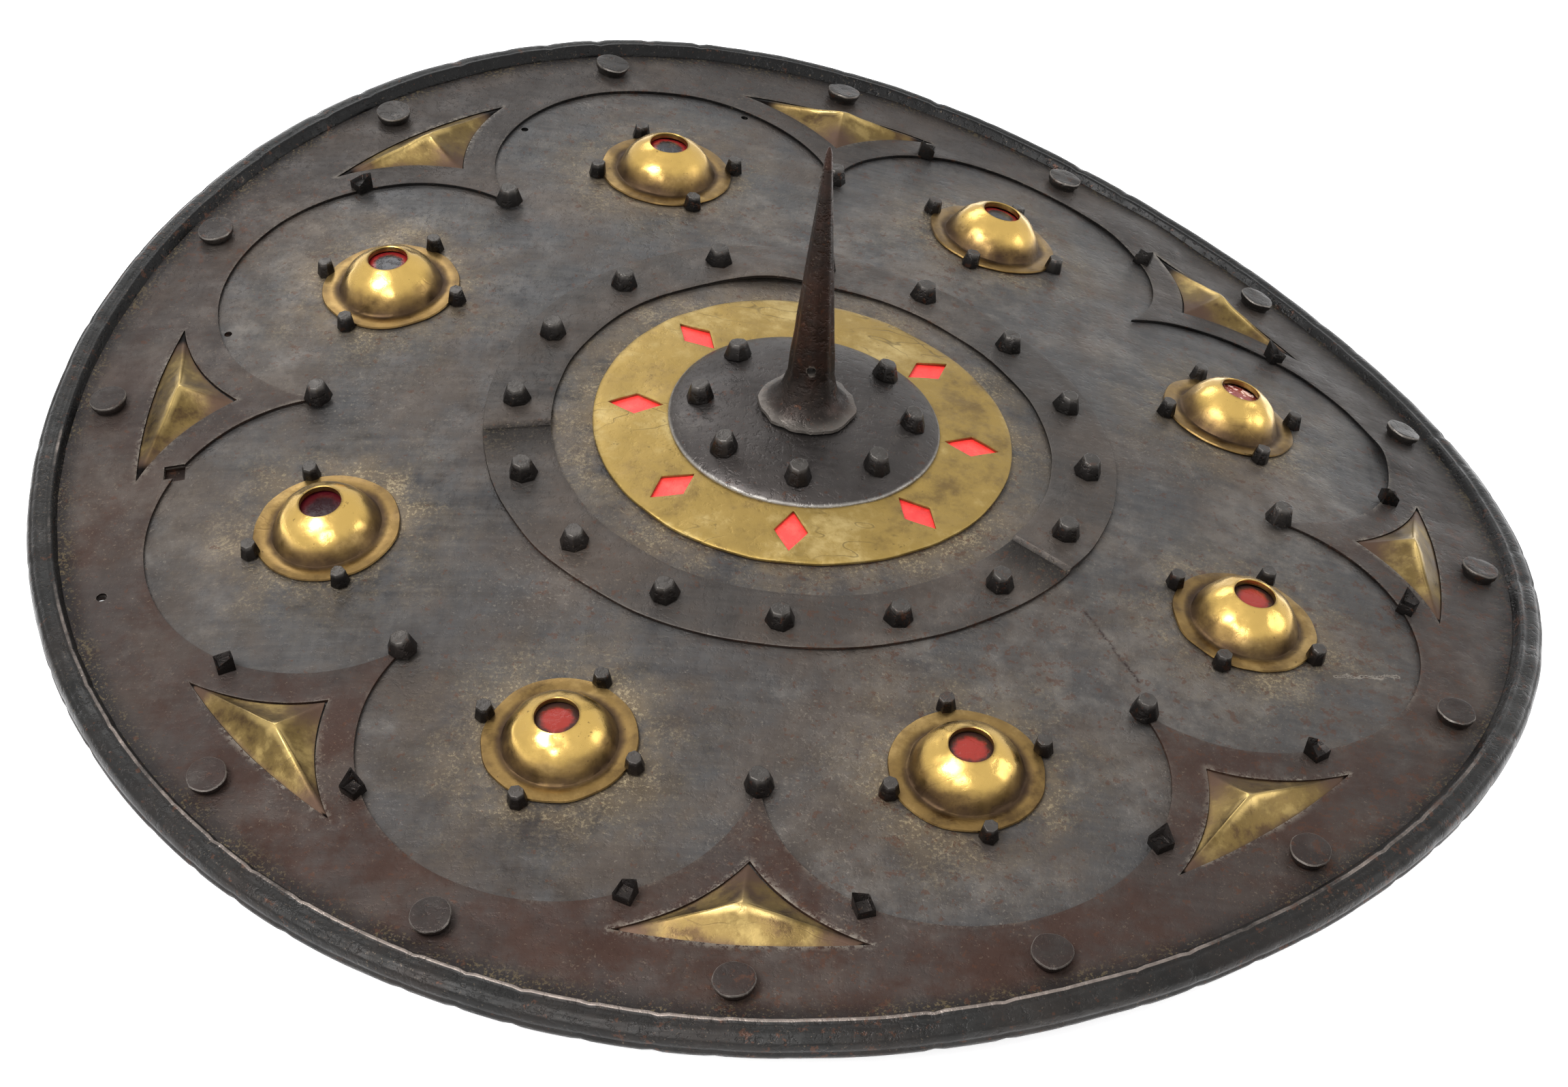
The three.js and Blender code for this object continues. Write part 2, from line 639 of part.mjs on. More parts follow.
function bossSolid(bay) {
  const inner = DOME_RADIUS - BRASS_THICKNESS;
  const profile = [
    [FLANGE_RADIUS, 0],
    [FLANGE_RADIUS, BRASS_THICKNESS],
    [DOME_RADIUS + BRASS_THICKNESS, BRASS_THICKNESS],
    [DOME_RADIUS * 0.9, DOME_HEIGHT * 0.54],
    [DOME_RADIUS * 0.64, DOME_HEIGHT * 0.88],
    [BOSS_HOLE_RADIUS, DOME_HEIGHT],
    [BOSS_HOLE_RADIUS, DOME_HEIGHT - BRASS_THICKNESS],
    [inner * 0.75, DOME_HEIGHT * 0.7],
    [inner, 0],
    [FLANGE_RADIUS, 0],
  ];
  let boss = toSolid(seat(turnedPiece(profile, BOSS_SIDES), BOSS_CIRCLE, bossAngle(bay), ON_PLATE));
  const pinCircle = FLANGE_RADIUS + PIN_OUTSIDE_FLANGE;
  for (let pin = 0; pin < PINS_PER_BOSS; pin += 1) {
    const isLost = bay === PINLESS_BOSS_INDEX && pin === PINS_PER_BOSS / 2;
    if (!isLost) {
      const turn = (2 * Math.PI * pin) / PINS_PER_BOSS;
      const geometry = studGeometry(PIN_RADIUS, PIN_HEIGHT, 0, PIN_SIDES);
      const foot = BRASS_THICKNESS / 2;
      geometry.translate(pinCircle * Math.cos(turn), pinCircle * Math.sin(turn), foot);
      boss = boss.add(toSolid(seat(geometry, BOSS_CIRCLE, bossAngle(bay), ON_PLATE)));
    }
  }
  return boss;
}

function jewelGeometry(bay) {
  const radius = BOSS_HOLE_RADIUS + JEWEL_SHOULDER;
  const shoulder = DOME_HEIGHT - BRASS_THICKNESS - JEWEL_SHOULDER;
  const profile = [
    [0, shoulder - JEWEL_THICKNESS],
    [radius, shoulder - JEWEL_THICKNESS],
    [radius, shoulder],
    [0, shoulder + JEWEL_DOME],
  ];
  return seat(turnedPiece(profile, JEWEL_SIDES), BOSS_CIRCLE, bossAngle(bay), ON_PLATE);
}

// Three-sided repousse pyramid of thin brass, seen through an opening of the border
function reliefGeometry(bay) {
  const outline = openingOutline(CLEARANCE);
  const middle = new THREE.Vector2();
  const corners = [outline[0], outline[SIDE_STEPS], outline[2 * SIDE_STEPS]];
  corners.forEach((corner) => middle.addScaledVector(corner, 1 / corners.length));
  const positions = [0, 0, RELIEF_HEIGHT - BRASS_THICKNESS, 0, 0, RELIEF_HEIGHT];
  for (const point of outline) {
    const x = point.x - middle.x;
    positions.push(x, point.y, 0, x, point.y, BRASS_THICKNESS);
  }
  const faces = [];
  for (let index = 0; index < outline.length; index += 1) {
    const here = 2 + 2 * index;
    const next = 2 + 2 * ((index + 1) % outline.length);
    faces.push(0, here, next, 1, next + 1, here + 1);
    faces.push(here, here + 1, next + 1, here, next + 1, next);
  }
  return seat(facetedGeometry(positions, faces), middle.x, cuspAngle(bay), RELIEF_CLEARANCE);
}

// The model

const group = new THREE.Group();

function addPiece(name, geometry, look) {
  geometry.computeVertexNormals();
  const material = new THREE.MeshStandardMaterial({ ...look, flatShading: true });
  const mesh = new THREE.Mesh(geometry, material);
  mesh.name = name;
  group.add(mesh);
}

addPiece('shield_plate', toGeometry(shieldPlate()), iron);
addPiece('rim_binding', rim(), darkIron);
addPiece('scalloped_border', toGeometry(scallopedBorder()), rustyIron);
addPiece('studded_band', toGeometry(bandRing()), iron);
addPiece('red_backing', redBacking(), redCloth);
addPiece('brass_ring', toGeometry(brassRing()), dullBrass);
addPiece('domed_disc', toGeometry(domedDisc()), darkIron);
addPiece('spike', spike(), darkIron);

for (let bay = 0; bay < BAYS; bay += 1) {
  addPiece(`boss_${bay + 1}`, toGeometry(bossSolid(bay)), brass);
  addPiece(`jewel_${bay + 1}`, jewelGeometry(bay), redGlass);
  addPiece(`brass_relief_${bay + 1}`, reliefGeometry(bay), brass);
  if (bay !== LOST_CUSP_STUD_INDEX) {
    const stud = studGeometry(CUSP_STUD_RADIUS, STUD_HEIGHT);
    addPiece(`cusp_stud_${bay + 1}`, seat(stud, CUSP_STUD_CIRCLE, cuspAngle(bay), ON_BORDER), darkIron);
  }
}

for (let index = 0; index < BAYS * RIVETS_PER_BAY; index += 1) {
  if (index !== LOST_RIVET_INDEX) {
    const head = turnedPiece(
      [[0, 0], [RIVET_RADIUS, 0], [RIVET_RADIUS, RIVET_HEIGHT], [0, RIVET_HEIGHT]],
      RIVET_SIDES,
    );
    const placed = seat(head, RIVET_CIRCLE, cuspAngle(index / RIVETS_PER_BAY), ON_BORDER);
    addPiece(`rim_rivet_${index + 1}`, placed, darkIron);
  }
}

export default group;
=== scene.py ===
"""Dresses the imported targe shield: fine metal over the CAD frame, its finishes, floor, light and camera."""

import logging
import math
from collections.abc import Callable, Sequence
from dataclasses import dataclass, field
from enum import Enum

import bmesh
import bpy
from mathutils import Matrix, Vector, noise
from mathutils.kdtree import KDTree


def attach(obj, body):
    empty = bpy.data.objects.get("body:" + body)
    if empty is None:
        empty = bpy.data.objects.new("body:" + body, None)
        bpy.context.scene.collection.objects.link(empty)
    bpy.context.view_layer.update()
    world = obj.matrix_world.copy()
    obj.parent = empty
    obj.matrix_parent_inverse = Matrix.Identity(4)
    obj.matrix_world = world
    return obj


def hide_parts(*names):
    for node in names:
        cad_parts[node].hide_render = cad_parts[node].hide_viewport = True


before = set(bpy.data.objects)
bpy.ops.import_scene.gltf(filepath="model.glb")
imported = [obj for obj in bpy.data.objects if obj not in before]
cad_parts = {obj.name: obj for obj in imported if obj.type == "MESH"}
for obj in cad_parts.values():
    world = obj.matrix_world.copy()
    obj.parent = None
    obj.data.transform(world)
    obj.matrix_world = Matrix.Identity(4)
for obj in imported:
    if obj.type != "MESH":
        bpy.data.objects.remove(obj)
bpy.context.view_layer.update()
LOG = logging.getLogger("targe")
MM = 0.001
TURN = 2 * math.pi
FAR = 20.0
NOT_WORN = 3.0
NOISE_SEED = 7

Place = Callable[[float, float], Vector]
Point = tuple[float, float]
Colour = tuple[float, float, float, float]
Value = bpy.types.NodeSocket | float | tuple


# The bent plate that everything follows


@dataclass
class BentPlate:
    """The upper face of the dished and bent plate, in millimetres and radians, as every size below."""

    radius: float = 262.0
    rim_middle: float = 256.5
    dish_depth: float = 31.0
    dish_power: float = 1.6
    saddle_depth: float = 19.1
    saddle_high: float = math.radians(128)
    wave_depth: float = 3.8
    wave_high: float = math.radians(103)
    low_rim: float = 4.6
    hammering: float = 0.45
    broad_wave: float = 34.0
    fine_wave: float = 15.0
    tip: float = field(init=False)
    lift: float = field(init=False)

    @property
    def low_side(self) -> float:
        """Gives the direction of one low side of the saddle."""
        return self.saddle_high - math.pi / 2

    def __post_init__(self) -> None:
        """Works out how far the shield tips and lifts to rest on the two low sides of its rim."""
        low = self.low_side
        self.tip = (self.bend(self.radius, low + math.pi) - self.bend(self.radius, low)) / 2
        self.lift = 0.0
        around = [TURN * spoke / 40 for spoke in range(40)]
        rim = [self.smooth(self.rim_middle * math.cos(a), self.rim_middle * math.sin(a)) for a in around]
        self.lift = self.low_rim - min(rim)

    def bend(self, radius: float, angle: float) -> float:
        """Gives the saddle and the three waves of the bent sheet.

        Args:
            radius: distance from the shield's axis.
            angle: direction from the axis.

        Returns:
            The height that the bend adds.
        """
        share = radius / self.radius
        saddle = self.saddle_depth * share**2 * math.cos(2 * (angle - self.saddle_high))
        return saddle + self.wave_depth * share**3 * math.cos(3 * (angle - self.wave_high))

    def tipped(self, x: float, y: float) -> float:
        """Gives the height that the tip of the whole shield adds at a place."""
        return self.tip * (x * math.cos(self.low_side) + y * math.sin(self.low_side)) / self.radius

    def smooth(self, x: float, y: float) -> float:
        """Gives the height of the plate without its hammer marks."""
        radius = math.hypot(x, y)
        dish = self.dish_depth * (radius / self.rim_middle) ** self.dish_power
        return self.bend(radius, math.atan2(y, x)) + self.tipped(x, y) - dish + self.lift

    def height(self, x: float, y: float) -> float:
        """Gives the height of the plate with the slow unevenness that hammering left."""
        broad = noise.noise(Vector((x / self.broad_wave, y / self.broad_wave, 3.1)))
        fine = noise.noise(Vector((x / self.fine_wave, y / self.fine_wave, 8.4)))
        return self.smooth(x, y) + self.hammering * (broad + 0.5 * fine)

    def normal(self, x: float, y: float) -> Vector:
        """Gives the direction that stands square to the plate at a place."""
        slope_x = (self.smooth(x + 1, y) - self.smooth(x - 1, y)) / 2
        slope_y = (self.smooth(x, y + 1) - self.smooth(x, y - 1)) / 2
        return Vector((-slope_x, -slope_y, 1)).normalized()


PLATE = BentPlate()


@dataclass(frozen=True)
class Pattern:
    """The plan of the shield: eight bays, their circles and the heights of the sheets on the plate."""

    bays: int = 8
    first_cusp: float = -math.pi / 2
    disc: float = 47.0
    ring_hole: float = 41.5
    ring: float = 72.5
    band_inner: float = 86.5
    band_outer: float = 109.5
    boss_circle: float = 165.5
    lobe_outward: float = 60.0
    lobe_sideways: float = 64.93
    web: float = 11.8
    cusp_studs: float = 167.6
    band_studs: float = 99.1
    disc_studs: float = 36.7
    flange: float = 25.0
    pin_circle: float = 26.5
    pins: int = 4
    rivet_circle: float = 240.3
    opening: float = 226.0
    plate: float = 257.0
    on_plate: float = 0.3
    on_border: float = 1.8
    on_backing: float = 1.2
    on_ring: float = 2.5
    square_turn: float = math.radians(46)
    square_outside: float = 1.6
    lost_squares: tuple[tuple[int, int], ...] = ((2, -1), (3, -1), (4, 1))
    notched_square: tuple[int, int] = (2, 1)
    notch: tuple[float, float, float] = (7.0, 6.4, 9.0)
    mark_radius: float = 1.4
    mark_depth: float = 1.1
    mark_inside: float = 2.8
    rivet_hole: float = 1.8
    lost_cusp_stud: int = 5
    lost_rivet: int = 3
    lost_pin: tuple[int, int] = (1, 2)

    @property
    def half_bay(self) -> float:
        """Gives the angle between a cusp line and the next lobe's middle."""
        return math.pi / self.bays

    def cusp_angle(self, index: float) -> float:
        """Gives the direction of a cusp, counted clockwise from the near side."""
        return self.first_cusp - 2 * self.half_bay * index

    def boss_angle(self, index: int) -> float:
        """Gives the direction of a boss."""
        return self.cusp_angle(index + 0.5)

    def lobe_point(self, angle: float, outside: float = 0.0) -> Vector:
        """Gives a point on the lobe beside a cusp line along +X, or on a curve parallel to the lobe.

        Args:
            angle: where the point is on the ellipse.
            outside: how far outside the lobe's edge the curve runs.

        Returns:
            The point in the plan of the shield.
        """
        outward = self.boss_circle + (self.lobe_outward + outside) * math.cos(angle)
        sideways = (self.lobe_sideways + outside) * math.sin(angle)
        return Matrix.Rotation(self.half_bay, 3, "Z") @ Vector((outward, sideways, 0))

    def cusp_crossing(self, outside: float) -> float:
        """Finds where a curve parallel to the lobe crosses the cusp line.

        Args:
            outside: how far outside the lobe's edge the curve runs.

        Returns:
            The angle on the ellipse of the outer crossing.
        """
        along = -(self.lobe_outward + outside) * math.sin(self.half_bay)
        across = -(self.lobe_sideways + outside) * math.cos(self.half_bay)
        farthest = math.atan2(across, along)
        return solved(lambda a: self.lobe_point(a, outside).y, farthest, farthest + math.pi / 2)

    def opening_corner(self, outside: float, reach: float) -> float:
        """Finds where a curve parallel to the lobe meets a circle about the shield's axis.

        Args:
            outside: how far outside the lobe's edge the curve runs.
            reach: the circle's radius.

        Returns:
            The angle on the ellipse.
        """
        start = self.cusp_crossing(outside)
        return solved(lambda a: self.lobe_point(a, outside).length - reach, start, 0.0)


def polar(radius: float, angle: float) -> Vector:
    """Gives the point of the plan at a radius and an angle."""
    return Vector((radius * math.cos(angle), radius * math.sin(angle), 0))


def solved(measure: Callable[[float], float], low: float, high: float) -> float:
    """Halves a span until it holds the place where a measure changes sign.

    Args:
        measure: the function whose sign changes.
        low: one end of the span.
        high: the other end.

    Returns:
        The place of the change.
    """
    for _ in range(50):
        middle = (low + high) / 2
        if (measure(middle) > 0) == (measure(low) > 0):
            low = middle
        else:
            high = middle
    return (low + high) / 2


PLAN = Pattern()


# Shader nodes


class NodeSheet:
    """Adds and links the nodes of one shader tree."""

    def __init__(self, tree: bpy.types.NodeTree) -> None:
        """Keeps the tree that the nodes go into."""
        self.tree = tree

    def add(
        self, kind: str, inputs: dict[str | int, Value] | None = None, **settings: object
    ) -> bpy.types.Node:
        """Adds a node.

        Args:
            kind: the node's type.
            inputs: values or sockets for its inputs, by name or number.
            settings: the node's own settings.

        Returns:
            The new node.
        """
        node = self.tree.nodes.new(kind)
        for name, value in settings.items():
            setattr(node, name, value)
        for key, value in (inputs or {}).items():
            if isinstance(value, bpy.types.NodeSocket):
                self.tree.links.new(value, node.inputs[key])
            else:
                node.inputs[key].default_value = value
        return node

    def place(self, stretch: Sequence[float] = (1, 1, 1), turn: float = 0.0) -> bpy.types.NodeSocket:
        """Gives Object coordinates, stretched and turned about Z for a pattern."""
        where = self.add("ShaderNodeTexCoord").outputs["Object"]
        inputs = {"Vector": where, "Scale": stretch, "Rotation": (0, 0, turn)}
        return self.add("ShaderNodeMapping", inputs).outputs["Vector"]

    def noise(
        self, scale: Value, detail: float = 4, vector: Value | None = None, rough: float = 0.6
    ) -> bpy.types.NodeSocket:
        """Gives a noise pattern on Object coordinates or on the vector that is handed in."""
        inputs = {"Vector": vector or self.place(), "Scale": scale, "Detail": detail, "Roughness": rough}
        return self.add("ShaderNodeTexNoise", inputs).outputs["Fac"]

    def span(
        self, value: Value, low: Value, high: Value, start: Value = 0.0, end: Value = 1.0
    ) -> bpy.types.NodeSocket:
        """Maps the span from low to high smoothly onto the span from start to end."""
        inputs = {"Value": value, "From Min": low, "From Max": high, "To Min": start, "To Max": end}
        return self.add("ShaderNodeMapRange", inputs, interpolation_type="SMOOTHSTEP").outputs["Result"]

    def maths(self, operation: str, first: Value, second: Value = 0.0) -> bpy.types.NodeSocket:
        """Gives the result of an operation on one or two values."""
        return self.add("ShaderNodeMath", {0: first, 1: second}, operation=operation).outputs["Value"]

    def times(self, first: Value, *others: Value) -> bpy.types.NodeSocket:
        """Gives the product of some values."""
        for other in others:
            first = self.maths("MULTIPLY", first, other)
        return first

    def plus(self, first: Value, second: Value) -> bpy.types.NodeSocket:
        """Gives the sum of two values."""
        return self.maths("ADD", first, second)

    def minus(self, first: Value, second: Value) -> bpy.types.NodeSocket:
        """Gives the first value less the second."""
        return self.maths("SUBTRACT", first, second)

    def mixed(self, share: Value, first: Value, second: Value) -> bpy.types.NodeSocket:
        """Gives a mix of two colours."""
        inputs = {0: share, 6: first, 7: second}
        return self.add("ShaderNodeMix", inputs, data_type="RGBA", clamp_factor=True).outputs[2]

    def reading(self, name: str) -> bpy.types.NodeSocket:
        """Gives the values of a mesh attribute."""
        return self.add("ShaderNodeAttribute", attribute_name=name).outputs["Fac"]

    def effect(
        self, tree: bpy.types.NodeTree, inputs: dict[str, Value] | None = None
    ) -> bpy.types.NodeSocket:
        """Places a shared node group with its own values and gives its output."""
        return self.add("ShaderNodeGroup", inputs, node_tree=tree).outputs[0]

    def bump(self, height: Value, strength: float, distance: float = 0.0012) -> bpy.types.NodeSocket:
        """Gives the normal of a surface with a height on it, in metres."""
        inputs = {"Strength": strength, "Distance": distance, "Height": height}
        return self.add("ShaderNodeBump", inputs).outputs["Normal"]

    def close(self, name: str, value: bpy.types.NodeSocket) -> bpy.types.NodeTree:
        """Makes a value the output of a node group and gives the group."""
        kind = "NodeSocketColor" if name == "Color" else "NodeSocketFloat"
        self.tree.interface.new_socket(name=name, in_out="OUTPUT", socket_type=kind)
        self.add("NodeGroupOutput", {name: value})
        return self.tree


def new_effect(name: str, inputs: dict[str, Value]) -> tuple[NodeSheet, bpy.types.NodeOutputs]:
    """Starts a shared effect as a node group with named inputs.

    Args:
        name: the effect's name.
        inputs: default value of each input; a tuple is a colour.

    Returns:
        The group's node sheet and the outputs of its input node.
    """
    tree = bpy.data.node_groups.new(name, "ShaderNodeTree")
    for label, value in inputs.items():
        kind = "NodeSocketColor" if isinstance(value, tuple) else "NodeSocketFloat"
        socket = tree.interface.new_socket(name=label, in_out="INPUT", socket_type=kind)
        socket.default_value = value
    sheet = NodeSheet(tree)
    return sheet, sheet.add("NodeGroupInput").outputs


class Effects:
    """The effects that the finishes share, each built once as a node group."""

    def __init__(self) -> None:
        """Builds every group."""
        self.tones = self.build_tones()
        self.specks = self.build_specks()
        self.wear = self.build_wear()
        self.forging = self.build_forging()
        self.brushing = self.build_brushing()
        self.near_side = self.build_near_side()
        self.scratches = self.build_scratches()
        self.line = self.build_line()

    def build_tones(self) -> bpy.types.NodeTree:
        """Builds the cloudy change between a dark, a middle and a light tone."""
        inputs = {"Dark": (0.02, 0.02, 0.02, 1), "Middle": (0.05, 0.05, 0.05, 1)}
        inputs |= {"Light": (0.1, 0.1, 0.1, 1), "Scale": 12.0, "Fine scale": 90.0}
        sheet, given = new_effect("Tones", inputs)
        broad = sheet.noise(given["Scale"], 5)
        fine = sheet.noise(given["Fine scale"], 6, rough=0.7)
        both = sheet.plus(sheet.times(broad, 0.6), sheet.times(fine, 0.4))
        lower = sheet.mixed(sheet.span(both, 0.34, 0.5), given["Dark"], given["Middle"])
        colour = sheet.mixed(sheet.span(both, 0.5, 0.66), lower, given["Light"])
        return sheet.close("Color", colour)

    def build_specks(self) -> bpy.types.NodeTree:
        """Builds small ragged specks that gather in clouds."""
        inputs = {"Scale": 400.0, "Cloud scale": 18.0, "Amount": 0.3}
        sheet, given = new_effect("Specks", inputs)
        fine = sheet.noise(given["Scale"], 3, rough=0.75)
        cloud = sheet.noise(given["Cloud scale"], 4)
        edge = sheet.minus(0.78, sheet.times(given["Amount"], cloud))
        mask = sheet.span(fine, edge, sheet.plus(edge, 0.06))
        return sheet.close("Mask", mask)

    def build_wear(self) -> bpy.types.NodeTree:
        """Builds the worn line along the edges, from the attribute that holds the distance to an edge; on the
        stud tops, the laps' ends and the rim's ridge this line is a painted highlight.
        """
        inputs = {"Reach": 1.2, "Ragged": 1.0}
        sheet, given = new_effect("Edge wear and highlight", inputs)
        ragged = sheet.times(sheet.noise(260.0, 3), given["Ragged"])
        distance = sheet.plus(sheet.reading("edge"), ragged)
        mask = sheet.span(distance, 0.0, given["Reach"], 1.0, 0.0)
        return sheet.close("Mask", mask)

    def build_forging(self) -> bpy.types.NodeTree:
        """Builds the height of forged metal: broad hammer marks, pits and fine grain."""
        inputs = {"Scale": 60.0, "Marks": 1.0, "Pits": 0.4, "Grain": 0.2}
        sheet, given = new_effect("Forged surface", inputs)
        marks = sheet.times(sheet.noise(given["Scale"], 2), given["Marks"])
        pits = sheet.span(sheet.noise(420.0, 3), 0.3, 0.5)
        pitted = sheet.times(pits, given["Pits"])
        grain = sheet.times(sheet.noise(1300.0, 4, rough=0.7), given["Grain"])
        height = sheet.plus(sheet.plus(marks, pitted), grain)
        return sheet.close("Height", height)

    def build_brushing(self) -> bpy.types.NodeTree:
        """Builds faint streaks in two directions, as left by rubbing the metal down."""
        inputs = {"Strength": 1.0}
        sheet, given = new_effect("Brushing", inputs)
        along = sheet.noise(1.0, 3, sheet.place((22, 420, 60), 0.35))
        across = sheet.noise(1.0, 3, sheet.place((380, 26, 60), 0.15))
        both = sheet.plus(sheet.times(along, 0.65), sheet.times(across, 0.35))
        mask = sheet.times(sheet.span(both, 0.36, 0.66), given["Strength"])
        return sheet.close("Mask", mask)

    def build_near_side(self) -> bpy.types.NodeTree:
        """Builds a mask that grows towards the near and left side of the shield."""
        inputs = {"Start": -0.12, "End": 0.24}
        sheet, given = new_effect("Near and left side", inputs)
        where = sheet.add("ShaderNodeSeparateXYZ", {0: sheet.place()}).outputs
        across = sheet.times(where["X"], -0.16)
        toward = sheet.plus(across, sheet.times(where["Y"], -0.9))
        cloud = sheet.times(sheet.minus(sheet.noise(9.0, 4), 0.5), 0.35)
        mask = sheet.span(sheet.plus(toward, cloud), given["Start"], given["End"])
        return sheet.close("Mask", mask)

    def build_scratches(self) -> bpy.types.NodeTree:
        """Builds thin wandering lines."""
        inputs = {"Scale": 14.0, "Width": 0.006}
        sheet, given = new_effect("Scratches", inputs)
        line = sheet.noise(given["Scale"], 1.5, sheet.place((1, 2.6, 1), 0.6))
        gap = sheet.maths("ABSOLUTE", sheet.minus(line, 0.5))
        kept = sheet.span(sheet.noise(22.0, 2), 0.5, 0.6)
        mask = sheet.times(sheet.span(gap, 0.0, given["Width"], 1.0, 0.0), kept)
        return sheet.close("Mask", mask)

    def build_line(self) -> bpy.types.NodeTree:
        """Builds one jagged crack between two places, in metres."""
        inputs = {"Start X": 0.0, "Start Y": 0.0, "Run X": 0.02, "Run Y": 0.0, "Width": 0.0004}
        sheet, given = new_effect("Crack", inputs)
        where = sheet.add("ShaderNodeSeparateXYZ", {0: sheet.place()}).outputs
        across = sheet.minus(where["X"], given["Start X"])
        up = sheet.minus(where["Y"], given["Start Y"])
        jag = sheet.times(sheet.minus(sheet.noise(230.0, 4, rough=0.7), 0.5), 0.007)
        along = self.product(sheet, across, given["Run X"], up, given["Run Y"])
        size = self.product(sheet, given["Run X"], given["Run X"], given["Run Y"], given["Run Y"])
        share = sheet.maths("MINIMUM", sheet.maths("MAXIMUM", sheet.maths("DIVIDE", along, size), 0.0), 1.0)
        off_x = sheet.minus(across, sheet.times(share, given["Run X"]))
        off_y = sheet.minus(up, sheet.times(share, given["Run Y"]))
        off_y = sheet.plus(off_y, jag)
        away = sheet.maths("POWER", self.product(sheet, off_x, off_x, off_y, off_y), 0.5)
        mask = sheet.span(away, 0.0, given["Width"], 1.0, 0.0)
        return sheet.close("Mask", mask)

    def product(self, sheet: NodeSheet, first: Value, second: Value, third: Value, last: Value) -> Value:
        """Gives first times second plus third times last."""
        return sheet.plus(sheet.times(first, second), sheet.times(third, last))


# Finishes


def rgb(red: int, green: int, blue: int) -> Colour:
    """Turns a display colour of 0 to 255 into the linear colour that a shader takes."""
    parts = [value / 255 for value in (red, green, blue)]
    linear = [p / 12.92 if p <= 0.04045 else ((p + 0.055) / 1.055) ** 2.4 for p in parts]
    return (linear[0], linear[1], linear[2], 1.0)


@dataclass(frozen=True)
class Surface:
    """A finish with a name; each kind of finish draws its own shader inputs."""

    name: str

    def build(self, effects: Effects) -> bpy.types.Material:
        """Builds the material.

        Args:
            effects: the shared node groups.

        Returns:
            The finished material.
        """
        material = bpy.data.materials.new(self.name)
        material.use_nodes = True
        material.node_tree.nodes.clear()
        sheet = NodeSheet(material.node_tree)
        shader = sheet.add("ShaderNodeBsdfPrincipled", self.draw(sheet, effects))
        sheet.add("ShaderNodeOutputMaterial", {"Surface": shader.outputs["BSDF"]})
        return material

    def draw(self, sheet: NodeSheet, effects: Effects) -> dict[str, Value]:
        """Draws the finish and gives the inputs of its Principled shader."""
        raise NotImplementedError


